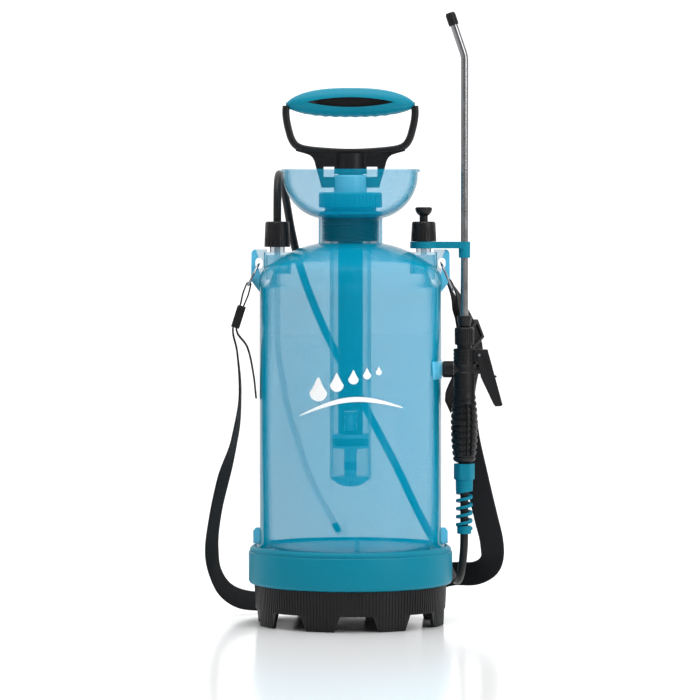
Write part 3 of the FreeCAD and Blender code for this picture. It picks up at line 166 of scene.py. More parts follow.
def woven_webbing_group():
    """Plain-woven webbing on a UV map in metres: ribs across the width, threads along it."""
    group, start, end = new_group(
        "woven_webbing",
        [("Colour", "NodeSocketColor", (0.02, 0.02, 0.02, 1)), ("Threads", "NodeSocketFloat", 800.0),
         ("Ribs", "NodeSocketFloat", 620.0), ("Width", "NodeSocketFloat", 0.025)],
        [("Colour", "NodeSocketColor"), ("Roughness", "NodeSocketFloat"), ("Height", "NodeSocketFloat")])
    link = group.links.new
    place = added(group, "ShaderNodeTexCoord")
    split = added(group, "ShaderNodeSeparateXYZ")
    link(place.outputs["UV"], split.inputs[0])
    waves = []
    for axis, density in (("X", "Threads"), ("Y", "Ribs")):
        turns = added(group, "ShaderNodeMath", operation="MULTIPLY")
        link(split.outputs[axis], turns.inputs[0])
        link(start.outputs[density], turns.inputs[1])
        angle = added(group, "ShaderNodeMath", operation="MULTIPLY", sockets={1: FULL_TURN})
        link(turns.outputs[0], angle.inputs[0])
        wave = added(group, "ShaderNodeMath", operation="SINE")
        link(angle.outputs[0], wave.inputs[0])
        waves.append(wave)
    crossed = added(group, "ShaderNodeMath", operation="MULTIPLY")
    link(waves[0].outputs[0], crossed.inputs[0])
    link(waves[1].outputs[0], crossed.inputs[1])
    weave = added(group, "ShaderNodeMath", operation="MULTIPLY_ADD", sockets={1: 0.5, 2: 0.5})
    link(crossed.outputs[0], weave.inputs[0])
    across = added(group, "ShaderNodeMath", operation="DIVIDE")
    link(split.outputs["X"], across.inputs[0])
    link(start.outputs["Width"], across.inputs[1])
    from_middle = added(group, "ShaderNodeMath", operation="SUBTRACT", sockets={1: 0.5})
    link(across.outputs[0], from_middle.inputs[0])
    edge = added(group, "ShaderNodeMath", operation="ABSOLUTE")
    link(from_middle.outputs[0], edge.inputs[0])
    border = added(group, "ShaderNodeMapRange", sockets={"From Min": 0.40, "From Max": 0.44})
    link(edge.outputs[0], border.inputs["Value"])
    fuzz = added(group, "ShaderNodeTexNoise", sockets={"Scale": 260.0, "Detail": 3.0})
    link(place.outputs["UV"], fuzz.inputs["Vector"])
    light = added(group, "ShaderNodeMapRange", sockets={"To Min": 0.65, "To Max": 1.9})
    link(weave.outputs[0], light.inputs["Value"])
    # Both edges of the webbing are made lighter.
    edge_lightened = added(group, "ShaderNodeMath", operation="MULTIPLY_ADD", sockets={1: 0.5})
    link(border.outputs["Result"], edge_lightened.inputs[0])
    link(light.outputs["Result"], edge_lightened.inputs[2])
    uneven = added(group, "ShaderNodeMath", operation="MULTIPLY_ADD", sockets={1: 0.6})
    link(fuzz.outputs["Fac"], uneven.inputs[0])
    link(edge_lightened.outputs[0], uneven.inputs[2])
    shaded = added(group, "ShaderNodeVectorMath", operation="SCALE")
    link(start.outputs["Colour"], shaded.inputs[0])
    link(uneven.outputs[0], shaded.inputs["Scale"])
    link(shaded.outputs[0], end.inputs["Colour"])
    rough = added(group, "ShaderNodeMapRange", sockets={"To Min": 0.85, "To Max": 0.62})
    link(weave.outputs[0], rough.inputs["Value"])
    link(rough.outputs["Result"], end.inputs["Roughness"])
    link(weave.outputs[0], end.inputs["Height"])
    return group


def brushed_metal_group():
    """Drawn steel: fine streaks along the tube and faint handling marks."""
    group, start, end = new_group(
        "brushed_metal",
        [("Colour", "NodeSocketColor", (0.5, 0.5, 0.5, 1)), ("Roughness", "NodeSocketFloat", 0.25),
         ("Streak", "NodeSocketFloat", 2500.0)],
        [("Colour", "NodeSocketColor"), ("Roughness", "NodeSocketFloat"), ("Height", "NodeSocketFloat")])
    link = group.links.new
    place = added(group, "ShaderNodeTexCoord")
    drawn = added(group, "ShaderNodeVectorMath", operation="MULTIPLY", sockets={1: (1.0, 1.0, 0.02)})
    link(place.outputs["Object"], drawn.inputs[0])
    streaks = added(group, "ShaderNodeTexNoise", sockets={"Detail": 2.0})
    link(drawn.outputs[0], streaks.inputs["Vector"])
    link(start.outputs["Streak"], streaks.inputs["Scale"])
    marks = added(group, "ShaderNodeTexNoise", sockets={"Scale": 60.0, "Detail": 4.0})
    link(place.outputs["Object"], marks.inputs["Vector"])
    centred = added(group, "ShaderNodeMath", operation="SUBTRACT", sockets={1: 0.5})
    link(marks.outputs["Fac"], centred.inputs[0])
    gloss = added(group, "ShaderNodeMath", operation="MULTIPLY_ADD", sockets={1: 0.3})
    link(centred.outputs[0], gloss.inputs[0])
    link(start.outputs["Roughness"], gloss.inputs[2])
    tone = added(group, "ShaderNodeMath", operation="MULTIPLY_ADD", sockets={1: 0.25, 2: 1.0})
    link(centred.outputs[0], tone.inputs[0])
    shaded = added(group, "ShaderNodeVectorMath", operation="SCALE")
    link(start.outputs["Colour"], shaded.inputs[0])
    link(tone.outputs[0], shaded.inputs["Scale"])
    link(shaded.outputs[0], end.inputs["Colour"])
    link(gloss.outputs[0], end.inputs["Roughness"])
    link(streaks.outputs["Fac"], end.inputs["Height"])
    return group


# ---------------------------------------------------------------- materials


def group_named(name, build):
    """The node group of that name, built the first time it is asked for."""
    return bpy.data.node_groups.get(name) or build()


def material_with(name, group, values, bump, **shader_values):
    """A material whose shader takes its colour, roughness and bump from a group."""
    material = bpy.data.materials.new(name)
    material.use_nodes = True
    tree = material.node_tree
    shader = tree.nodes["Principled BSDF"]
    surface = added(tree, "ShaderNodeGroup", node_tree=group)
    for label, value in values.items():
        surface.inputs[label].default_value = value
    for label, value in shader_values.items():
        shader.inputs[label.replace("_", " ")].default_value = value
    link = tree.links.new
    link(surface.outputs["Colour"], shader.inputs["Base Color"])
    link(surface.outputs["Roughness"], shader.inputs["Roughness"])
    relief = added(tree, "ShaderNodeBump", sockets={"Strength": 0.5, "Distance": bump})
    link(surface.outputs["Height"], relief.inputs["Height"])
    link(relief.outputs["Normal"], shader.inputs["Normal"])
    return material


def solid(rgb):
    """A colour with full alpha."""
    return (*rgb, 1.0)


def plastic(name, rgb, roughness, shade=0.12, grain=900.0, bump=0.00006, coat=0.0, gloss=0.28):
    """A moulded plastic of one colour."""
    return material_with(
        name, group_named("moulded_plastic", moulded_plastic_group),
        {"Colour": solid(rgb), "Roughness": roughness, "Shade": shade, "Grain": grain}, bump,
        Coat_Weight=coat, Coat_Roughness=0.15, Specular_IOR_Level=gloss)


def clear_plastic(name, rgb, edge_rgb, face, rim, roughness=0.12, rim_start=0.50, rim_end=0.84):
    """A see-through plastic: thin face on, dense where its wall is seen along its depth."""
    material = bpy.data.materials.new(name)
    material.use_nodes = True
    tree = material.node_tree
    shader = tree.nodes["Principled BSDF"]
    link = tree.links.new
    surface = added(tree, "ShaderNodeGroup", node_tree=group_named("moulded_plastic", moulded_plastic_group))
    surface.inputs["Colour"].default_value = solid(rgb)
    surface.inputs["Roughness"].default_value = roughness
    surface.inputs["Shade"].default_value = 0.05
    surface.inputs["Grain"].default_value = 300.0
    link(surface.outputs["Roughness"], shader.inputs["Roughness"])
    slope = added(tree, "ShaderNodeLayerWeight", sockets={"Blend": 0.5})
    depth = added(tree, "ShaderNodeMapRange", interpolation_type="SMOOTHSTEP", sockets={
        "From Min": rim_start, "From Max": rim_end})
    link(slope.outputs["Facing"], depth.inputs["Value"])
    tint = added(tree, "ShaderNodeMix", data_type="RGBA")
    tint.inputs["B"].default_value = solid(edge_rgb)
    link(depth.outputs["Result"], tint.inputs["Factor"])
    link(surface.outputs["Colour"], tint.inputs["A"])
    link(tint.outputs["Result"], shader.inputs["Base Color"])
    opacity = added(tree, "ShaderNodeMath", operation="MULTIPLY_ADD", sockets={1: rim - face, 2: face})
    link(depth.outputs["Result"], opacity.inputs[0])
    link(opacity.outputs[0], shader.inputs["Alpha"])
    shader.inputs["Specular IOR Level"].default_value = 0.07
    return material


def make_materials(colours):
    """Every finish of the sprayer, by the name the pieces ask for."""
    webbing = material_with(
        "webbing", group_named("woven_webbing", woven_webbing_group),
        {"Colour": solid(colours.webbing)}, 0.0003, Specular_IOR_Level=0.2)
    steel = material_with(
        "drawn_steel", group_named("brushed_metal", brushed_metal_group),
        {"Colour": solid(colours.steel), "Roughness": 0.22}, 0.00001, Metallic=1.0)
    return {
        "tank": clear_plastic("tank_clear", colours.clear, colours.rim, 0.35, 0.92),
        # The neck's face tint is a darker copy of the clear blue: painted shade in the threaded neck.
        "neck_shade": clear_plastic("neck_shade_clear", (0.000, 0.150, 0.235), colours.clear, 0.34, 0.70),
        "funnel": clear_plastic("funnel_clear", colours.clear, colours.rim, 0.27, 0.70),
        "pump_clear": clear_plastic("pump_clear", (0.004, 0.36, 0.56), colours.rim, 0.10, 0.75),
        "lug": plastic("lug_moulding", colours.lug, 0.3),
        "pale": plastic("pale_moulding", colours.pale, 0.35),
        "teal": plastic("teal_moulding", colours.teal, 0.42, gloss=0.12),
        # Painted shade: the cap's thread takes a darker copy of the teal.
        "thread_shade": plastic("thread_shade_moulding", colours.thread_shade, 0.4, gloss=0.2),
        "mark": plastic("printed_mark", colours.mark, 0.5, shade=0.02, gloss=0.2),
        "black": plastic("black_moulding", colours.black, 0.40, grain=1400.0, bump=0.0001, gloss=0.25),
        "rubber": plastic("hose_rubber", colours.rubber, 0.42, bump=0.00004, gloss=0.22),
        "blue_rubber": plastic("valve_rubber", (0.03, 0.20, 0.36), 0.5),
        "steel": steel,
        "webbing": webbing,
    }


MATERIALS = {}
FINISH_OF_SLOT = {
    "clear_blue": "tank",
    "clear_pump": "pump_clear",
    "light_blue": "pale",
    "teal": "teal",
    "black": "black",
    "rubber": "rubber",
    "blue_rubber": "blue_rubber",
    "steel": "steel",
    "webbing": "webbing",
}


# ---------------------------------------------------------------- mesh helpers


def raised_wall(bm, levels, steps, shape=None, closed=False):
    """Raise a wall round +Z through (radius, height) levels, in mm.

    A shape may move each place in or out by its angle and height. A closed wall ends where
    it began; an open one has both ends capped.
    """
    def settle(verts, radius, height):
        for vert in verts:
            angle = math.atan2(vert.co.y, vert.co.x)
            reach = radius + (shape(angle, height) if shape else 0.0)
            vert.co = (reach * math.cos(angle), reach * math.sin(angle), height)

    ring = bmesh.ops.create_circle(bm, segments=steps, radius=1.0)["verts"]
    edges = list({edge for vert in ring for edge in vert.link_edges})
    made = list(ring)
    settle(ring, *levels[0])
    for radius, height in levels[1:]:
        grown = bmesh.ops.extrude_edge_only(bm, edges=edges)["geom"]
        verts = [item for item in grown if isinstance(item, bmesh.types.BMVert)]
        edges = [item for item in grown if isinstance(item, bmesh.types.BMEdge) and item.is_boundary]
        settle(verts, radius, height)
        made += verts
    if closed:
        bmesh.ops.remove_doubles(bm, verts=made, dist=1e-4)
    else:
        bmesh.ops.holes_fill(bm, edges=[edge for edge in bm.edges if edge.is_boundary], sides=0)


def lofted(bm, rings):
    """Draw a skin through rings of the same number of places, in mm, and cap both ends."""
    ring = bmesh.ops.create_circle(bm, segments=len(rings[0]), radius=1.0)["verts"]
    order = {vert: i for i, vert in enumerate(ring)}
    edges = list({edge for vert in ring for edge in vert.link_edges})
    for vert, i in order.items():
        vert.co = rings[0][i]
    for places in rings[1:]:
        grown = bmesh.ops.extrude_edge_only(bm, edges=edges)["geom"]
        edges = [item for item in grown if isinstance(item, bmesh.types.BMEdge) and item.is_boundary]
        fresh = {}
        for vert in grown:
            if isinstance(vert, bmesh.types.BMVert):
                others = (edge.other_vert(vert) for edge in vert.link_edges)
                fresh[vert] = next(order[other] for other in others if other in order)
        for vert, i in fresh.items():
            vert.co = places[i]
        order = fresh
    bmesh.ops.holes_fill(bm, edges=[edge for edge in bm.edges if edge.is_boundary], sides=0)


def wound_band(bm, corners, pitch, turns, steps=36):
    """Wind a band of (radius, height) corners, in mm, upwards round +Z."""
    verts = [bm.verts.new((radius, 0, height)) for radius, height in corners]
    face = bm.faces.new(verts)
    bmesh.ops.spin(
        bm, geom=verts + list(face.edges) + [face], cent=(0, 0, 0), axis=(0, 0, 1),
        angle=turns * FULL_TURN, steps=round(turns * steps), dvec=(0, 0, pitch / steps))


def block(bm, middle, size, turn=None):
    """Add a box by its middle and size, in mm, turned first if asked."""
    matrix = Matrix.Translation(middle) @ (turn or Matrix()) @ Matrix.Diagonal((*size, 1))
    return bmesh.ops.create_cube(bm, size=1.0, matrix=matrix)["verts"]


def smooth_by_angle(mesh, degrees=32):
    """Smooth shading that keeps the edges sharper than an angle."""
    for face in mesh.polygons:
        face.use_smooth = True
    mesh.set_sharp_from_angle(angle=math.radians(degrees))


def linked(name, mesh, finish):
    """A new object in the scene with one finish."""
    item = bpy.data.objects.new(name, mesh)
    bpy.context.scene.collection.objects.link(item)
    mesh.materials.clear()
    mesh.materials.append(MATERIALS[finish])
    return item


def adopt(item, nodes):
    """Tie a finished piece to the body of the nodes it stands for, and hide those nodes."""
    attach(item, BODY_OF[nodes[0]])
    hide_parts(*nodes)


def piece_from(bm, name, finish, nodes=(), beside=None, shift=(0, 0, 0), degrees=32):
    """Turn a mesh in mm into a finished piece that stands for some nodes, or sits beside one."""
    bmesh.ops.translate(bm, vec=shift, verts=bm.verts)
    bmesh.ops.scale(bm, vec=(MM, MM, MM), verts=bm.verts)
    bmesh.ops.recalc_face_normals(bm, faces=bm.faces)
    mesh = bpy.data.meshes.new(name)
    bm.to_mesh(mesh)
    bm.free()
    smooth_by_angle(mesh, degrees)
    item = linked(name, mesh, finish)
    if beside:
        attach(item, BODY_OF[beside])
    else:
        adopt(item, nodes)
    return item


def soften(item, width, degrees=35, segments=2):
    """Round a piece's sharp edges."""
    bevel = item.modifiers.new("edges", "BEVEL")
    bevel.width = width
    bevel.segments = segments
    bevel.limit_method = "ANGLE"
    bevel.angle_limit = math.radians(degrees)
    bevel.use_clamp_overlap = True
    return item


def dressed(node, finish=None, degrees=32, rounding=0.0):
    """A merged, smooth-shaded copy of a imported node, with rounded edges if asked."""
    bm = bmesh.new()
    bm.from_mesh(frame["nodes"][node].data)
    bmesh.ops.remove_doubles(bm, verts=bm.verts, dist=2e-6)
    bmesh.ops.dissolve_degenerate(bm, edges=bm.edges, dist=1e-6)
    if rounding:
        bmesh.ops.dissolve_limit(
            bm, angle_limit=math.radians(0.8), verts=bm.verts, edges=bm.edges, delimit={"NORMAL"})
    mesh = bpy.data.meshes.new(f"{node}_finish")
    bm.to_mesh(mesh)
    bm.free()
    smooth_by_angle(mesh, degrees)
    item = linked(f"{node}_finish", mesh, finish or FINISH_OF_SLOT[SLOT_OF[node]])
    adopt(item, [node])
    if rounding:
        soften(item, rounding)
    return item


# ---------------------------------------------------------------- hose


def hose_route():
    """The hose's route, from the outlet nut, behind the tank, up into the gun, in metres."""
    return [Vector(point) * MM for point in (
        (-76.4, 0, 420.5), (-76.4, 0, 441.5), (-76.2, 11.5, 460.5), (-75.4, 31, 470.5), (-73.8, 54, 469.5),
        (-71, 75, 457.5), (-67.5, 89.5, 437), (-62.5, 98, 406), (-53.5, 102.5, 369), (-39.5, 103.5, 331),
        (-21.5, 103.5, 290), (1, 103.5, 250), (24, 103.5, 206), (50, 103.5, 157), (74, 104, 105),
        (96, 101, 67), (109.5, 80, 43), (113, 50, 38), (116.5, 20, 50), (119, 0, 78), (119, 0, 104),
        (119, 0, 124), (119, 0, 143.6))]


def make_hose(sizes):
    """The hose, as one smooth curve."""
    line = bpy.data.curves.new("hose", "CURVE")
    line.dimensions = "3D"
    spline = line.splines.new("NURBS")
    route = hose_route()
    spline.points.add(len(route) - 1)
    for point, place in zip(spline.points, route):
        point.co = (*place, 1)
    spline.order_u = 3
    spline.use_endpoint_u = True
    spline.resolution_u = 10
    line.bevel_depth = sizes.hose_diameter / 2
    line.bevel_resolution = 6
    line.use_fill_caps = True
    line.materials.append(MATERIALS["rubber"])
    item = bpy.data.objects.new("hose", line)
    bpy.context.scene.collection.objects.link(item)
    adopt(item, ["spray_hose"])
    return item


# ---------------------------------------------------------------- carrying strap


def across(direction, wish):
    """The unit vector nearest to a wish that is square to a direction."""
    return (wish - direction * wish.dot(direction)).normalized()


class Hanger:
    """Where one end of the strap hangs: its ring, the loop of webbing through it and the slider."""

    def __init__(self, side, top, bar, slider, slider_across):
        self.side = side
        self.top = Vector(top)
        self.bar = Vector(bar)
        self.down = (self.bar - self.top).normalized()
        self.bar_way = across(self.down, Vector((0, 1, 0)))
        self.slider = Vector(slider)
        self.loop_way = (self.slider - self.bar).normalized()
        self.slider_way = across(self.loop_way, Vector(slider_across))

    def outward(self, way):
        """The face normal of the webbing that points away from the tank."""
        normal = self.loop_way.cross(way).normalized()
        return normal if normal.x * self.side > 0 else -normal


LEFT = Hanger(-1, (-95.5, 0, 376.4), (-106.5, 0, 354.4), (-117, 0, 321), (0, 1, 0))
RIGHT = Hanger(1, (95, 0, 376.4), (104.6, 11, 353.7), (126, 41, 298), (0.6, 0.8, 0))


SLIDER_REACH = 13.5


def loop_stations(hanger):
    """The webbing from the slider up its inner layer, over the ring's bar and down the outer layer."""
    gap = 1.9
    half = SLIDER_REACH
    up = -hanger.loop_way
    inner = []
    outer = []
    reach = (hanger.slider - hanger.bar).length
    for along, spread in ((half, gap), (-half, gap), (-0.5 * (half + reach), 2.9), (3 - reach, 2.5)):
        share = min(1.0, max(0.0, (-along - half) / (reach - half)))
        way = across(up, hanger.slider_way * (1 - share) + hanger.bar_way * share)
        normal = hanger.outward(way)
        middle = hanger.slider + hanger.loop_way * along
        inner.append((middle - normal * spread, way))
        outer.append((middle + normal * spread, way))
    over = []
    normal = hanger.outward(across(up, hanger.bar_way))
    for degrees in (-60, -20, 20, 60):
        angle = math.radians(degrees)
        over.append((hanger.bar + (up * math.cos(angle) + normal * math.sin(angle)) * 2.5, hanger.bar_way))
    return inner + over + outer[::-1]


LEFT_TAIL = (
    ((-98.5, -4, 236), (0, 1, 0)), ((-101.5, -2, 262), (0, 1, 0)), ((-108, 0, 290), (0, 1, 0)))
RIGHT_TAIL = (
    ((126.5, 48, 274), (0.5, 0.85, 0.2)), ((119, 42, 262), (0.5, 0.85, 0)),
    ((111, 33, 250), (0.45, 0.88, 0)), ((105, 24, 237), (0.4, 0.9, 0)), ((102.5, 17, 226), (0.3, 0.95, 0)))
HANGING = (
    ((-118.5, 1, 285), (0, 1, 0)), ((-115.5, 3, 240), (0.05, 1, 0)), ((-121, 8, 195), (0.22, 0.97, 0)),
    ((-133, 16, 152), (0.5, 0.86, 0.1)), ((-142.5, 26, 110), (0.46, 0.87, 0.1)),
    ((-146.5, 40, 72), (0.5, 0.84, 0.2)), ((-140, 58, 40), (0.3, 0.75, 0.5)),
    ((-124, 78, 21), (0.2, 0.75, 0.6)), ((-98, 100, 13.5), (0.1, 0.7, 0.55)),
    ((-56, 122, 12.5), (0, 0.8, 0.5)), ((-8, 132, 13.5), (0, 0.7, 0.6)), ((40, 129, 20), (-0.1, 0.5, 0.8)),
    ((78, 113, 32), (-0.2, 0.3, 0.9)), ((108, 94, 43), (-0.1, 0.2, 1)), ((134, 74, 46), (-0.2, 0.1, 1)),
    ((148.5, 57, 58), (-0.7, 0.1, 0.6)), ((149.5, 43, 80), (-1, 0.1, 0.1)), ((143, 34, 108), (-1, 0.1, -0.2)),
    ((133, 29, 150), (-1, 0.1, -0.3)), ((122, 31, 203), (-1, 0, -0.2)),
    ((121.5, 39, 243), (-0.8, -0.6, -0.1)), ((131.5, 46, 272), (-0.55, -0.75, -0.35)))


def strap_stations():
    """Every station of the webbing, from the left tail to the right tail: (middle, width way)."""
    def plain(rows, sign=1):
        return [(Vector(middle), Vector(way) * sign) for middle, way in rows]

    right_loop = [(middle, -way) for middle, way in loop_stations(RIGHT)[::-1]]
    return plain(LEFT_TAIL) + loop_stations(LEFT) + plain(HANGING) + right_loop + plain(RIGHT_TAIL, -1)


def between(before, start, end, after, share):
    """A point on the smooth curve from start to end that heads the way its neighbours lie."""
    chord = (end - start).length
    leave = (end - before).normalized() * chord
    arrive = (after - start).normalized() * chord
    square = share * share
    cube = square * share
    return (start * (2 * cube - 3 * square + 1) + leave * (cube - 2 * square + share)
            + end * (3 * square - 2 * cube) + arrive * (cube - square))


def webbing_rows(stations):
    """The middle and width way of every row of the webbing, close enough to look smooth."""
    rows = []
    last = len(stations) - 1
    for i in range(last):
        before, start, end, after = (stations[min(max(k, 0), last)] for k in (i - 1, i, i + 1, i + 2))
        steps = max(1, round((end[0] - start[0]).length / 5))
        for step in range(steps):
            share = step / steps
            middle = between(before[0], start[0], end[0], after[0], share)
            way = start[1].lerp(end[1], share * share * (3 - 2 * share))
            rows.append((middle, way))
    rows.append(stations[last])
    return rows


def make_webbing(sizes):
    """The webbing: an edge drawn along the strap's way, then given its thickness."""
    rows = webbing_rows(strap_stations())
    half = sizes.webbing_width / 2 / MM
    shares = (-1, -0.86, -0.5, 0, 0.5, 0.86, 1)
    bm = bmesh.new()
    uv = bm.loops.layers.uv.new("UVMap")
    row_verts = []
    run_so_far = 0.0
    travelled = []
    for i, (middle, way) in enumerate(rows):
        ahead = rows[min(i + 1, len(rows) - 1)][0] - rows[max(i - 1, 0)][0]
        side = across(ahead.normalized(), way)
        if i:
            run_so_far += (middle - rows[i - 1][0]).length
        travelled.append(run_so_far * MM)
        row_verts.append([bm.verts.new(middle + side * (half * share)) for share in shares])
    place = {}
    for verts, run in zip(row_verts, travelled):
        for vert, share in zip(verts, shares):
            place[vert] = ((share + 1) * half * MM, run)
    for near, far in zip(row_verts, row_verts[1:]):
        for k in range(len(shares) - 1):
            face = bm.faces.new((near[k], near[k + 1], far[k + 1], far[k]))
            for loop in face.loops:
                loop[uv].uv = place[loop.vert]
    item = piece_from(bm, "webbing", "webbing", ["strap_web"], degrees=60)
    wall = item.modifiers.new("thickness", "SOLIDIFY")
    wall.thickness = sizes.webbing_thickness
    wall.offset = 0
    return item


# ---------------------------------------------------------------- tank, foot and pump


TANK_RADIUS = 95.0
NECK_REACH, NECK_LOW = 34.5, 399.0
CAP_THREAD_TOP = 424.5
FOOT_LOW, FOOT_HIGH = 98.0, 100.0
FOOT_RISE = 41.6
NOTCH_STEP = FULL_TURN / 8
NOTCH_TURN = math.radians(3.6)


def two_finishes(item, finish, chosen):
    """Give the faces whose middle, in mm, is chosen a finish of their own."""
    item.data.materials.append(MATERIALS[finish])
    place = len(item.data.materials) - 1
    for face in item.data.polygons:
        if chosen(face.center / MM):
            face.material_index = place
    return item


def make_tank():
    """The clear tank, with its lugs, ears and gun pad in solid light blue, and its neck tinted darker as
    painted shade.
    """
    def solid_part(middle):
        reach = math.hypot(middle.x, middle.y)
        return reach > TANK_RADIUS + 0.3 and (abs(middle.y) < 3 or 256 < middle.z < 277)

    item = two_finishes(dressed("tank_shell"), "lug", solid_part)
    # The neck takes the darker clear tint: painted shade in the threaded neck.
    return two_finishes(item, "neck_shade", lambda middle: middle.z > NECK_LOW and middle.xy.length < NECK_REACH)


def make_mark():
    """The printed mark on the tank's front: a spray of drops over a sweep."""
    bm = bmesh.new()
    top, bottom = [], []
    steps = 36
    for i in range(steps + 1):
        share = i / steps
        x = -52 + 106 * share
        rise = 222 + 13 * math.sin(math.pi * share) + 8 * share
        half = 0.4 + 2.2 * math.sin(math.pi * share) ** 0.8
        top.append(bm.verts.new((x, 0, rise + half)))
        bottom.append(bm.verts.new((x, 0, rise - half)))
    for i in range(steps):
        bm.faces.new((bottom[i], bottom[i + 1], top[i + 1], top[i]))
    for x, z, radius in ((-33, 246, 9.0), (-14, 254, 7.0), (3, 260, 5.4), (17, 264, 4.2), (29, 267, 3.2)):
        drop = bmesh.ops.create_circle(bm, cap_ends=True, cap_tris=True, segments=40, radius=radius)["verts"]
        for vert in drop:
            across, up = vert.co.x, vert.co.y
            point = max(0.0, up / radius)
            vert.co = (x + across * (1 - 0.55 * point), 0, z + up * (1 + 0.75 * point * point))
    for vert in bm.verts:
        vert.co.y = -math.sqrt((TANK_RADIUS + 0.2) ** 2 - vert.co.x ** 2)
    wall = bmesh.ops.extrude_face_region(bm, geom=bm.faces[:])["geom"]
    front = [item for item in wall if isinstance(item, bmesh.types.BMVert)]
    bmesh.ops.translate(bm, vec=(0, -0.12, 0), verts=front)
    return piece_from(bm, "tank_mark", "mark", beside="tank_shell")


def make_foot(sizes):
    """The dark foot, with fine upright flutes round its skirt."""
    dressed("base_foot", rounding=sizes.edge_round)
    bm = bmesh.new()
    pitch = sizes.flute_pitch / MM
    count = round(FULL_TURN * FOOT_HIGH / pitch)
    lean = math.atan2(FOOT_HIGH - FOOT_LOW, FOOT_RISE)
    for i in range(count):
        angle = FULL_TURN * i / count
        offset = (angle + math.pi / 2 - NOTCH_TURN + NOTCH_STEP / 2) % NOTCH_STEP - NOTCH_STEP / 2
        low = 16.8 if abs(offset) < math.radians(13.8) else 0.5
        middle = (low + FOOT_RISE) / 2
        reach = FOOT_LOW + (FOOT_HIGH - FOOT_LOW) * middle / FOOT_RISE
        turn = Matrix.Rotation(angle, 4, "Z") @ Matrix.Rotation(lean, 4, "Y")
        block(bm, (reach * math.cos(angle), reach * math.sin(angle), middle),
              (1.1, pitch * 0.45, FOOT_RISE - low), turn)
    return piece_from(bm, "foot_flutes", "black", beside="base_foot")


def make_cap_thread():
    """The dark thread of the pump cap, seen through the clear neck; its darker teal is painted shade inside
    the neck.
    """
    bm = bmesh.new()
    wound_band(bm, ((27.9, 0), (29.3, 0.6), (29.3, 1.6), (27.9, 2.2)), 4.0, 5.6, steps=64)
    return piece_from(bm, "cap_thread", "thread_shade", beside="pump_cap", shift=(0, 0, 400))


# ---------------------------------------------------------------- handle


GRIP_HALF = 67.5
LOOP_PATH = ((67.0, 541.0), (67.4, 534.0), (66.6, 526.0), (64.6, 516.5), (61.4, 506.4), (56.4, 499.6),
             (47.0, 496.0), (24.0, 493.6), (0.0, 492.6))
WEB_FLANK = ((36.6, 481.5), (38.2, 484.5), (40.0, 487.6), (43.2, 490.0), (49.0, 491.8), (57.0, 494.0),
             (57.0, 496.0))
HOLLOW_HALF, HOLLOW_RISE, HOLLOW_MIDDLE = 46.5, 5.1, 544.7


def rounded_section(half_wide, half_deep, count=24, power=0.62):
    """Places round a rounded oblong, as (across, deep) pairs."""
    places = []
    for i in range(count):
        angle = FULL_TURN * i / count
        cosine, sine = math.cos(angle), math.sin(angle)
        places.append((math.copysign(abs(cosine) ** power, cosine) * half_wide,
                       math.copysign(abs(sine) ** power, sine) * half_deep))
    return places


def make_handle_frame():
    """The handle's frame: a rounded loop on the bracket that holds the plunger."""
    bm = bmesh.new()
    bm.from_mesh(frame["nodes"]["handle_frame"].data)
    bmesh.ops.remove_doubles(bm, verts=bm.verts, dist=2e-6)
    bmesh.ops.bisect_plane(
        bm, geom=bm.verts[:] + bm.edges[:] + bm.faces[:], dist=1e-6, plane_co=(0, 0, 0.4915),
        plane_no=(0, 0, 1), clear_outer=True)
    bmesh.ops.holes_fill(bm, edges=[edge for edge in bm.edges if edge.is_boundary], sides=0)
    bmesh.ops.scale(bm, vec=(1 / MM, 1 / MM, 1 / MM), verts=bm.verts)

    corners = [Vector((x, 0, z)) for x, z in LOOP_PATH] + [Vector((-x, 0, z)) for x, z in LOOP_PATH[-2::-1]]
    line = []
    for i in range(len(corners) - 1):
        before, after = corners[max(i - 1, 0)], corners[min(i + 2, len(corners) - 1)]
        line += [between(before, corners[i], corners[i + 1], after, step / 5) for step in range(5)]
    line.append(corners[-1])
    rings = []
    for i, middle in enumerate(line):
        run = (line[min(i + 1, len(line) - 1)] - line[max(i - 1, 0)]).normalized()
        side = Vector((0, 1, 0)).cross(run)
        rings.append([middle + side * wide + Vector((0, deep, 0))
                      for wide, deep in rounded_section(3.9, 7.6)])
    lofted(bm, rings)

    outline = list(WEB_FLANK) + [(-x, z) for x, z in WEB_FLANK[::-1]]
    web = bm.faces.new([bm.verts.new((x, -6.6, z)) for x, z in outline])
    grown = bmesh.ops.extrude_face_region(bm, geom=[web])["geom"]
    back = [item for item in grown if isinstance(item, bmesh.types.BMVert)]
    bmesh.ops.translate(bm, vec=(0, 13.2, 0), verts=back)
    return soften(piece_from(bm, "handle_frame_rounded", "black", ["handle_frame"], degrees=40), 0.0008, 50)


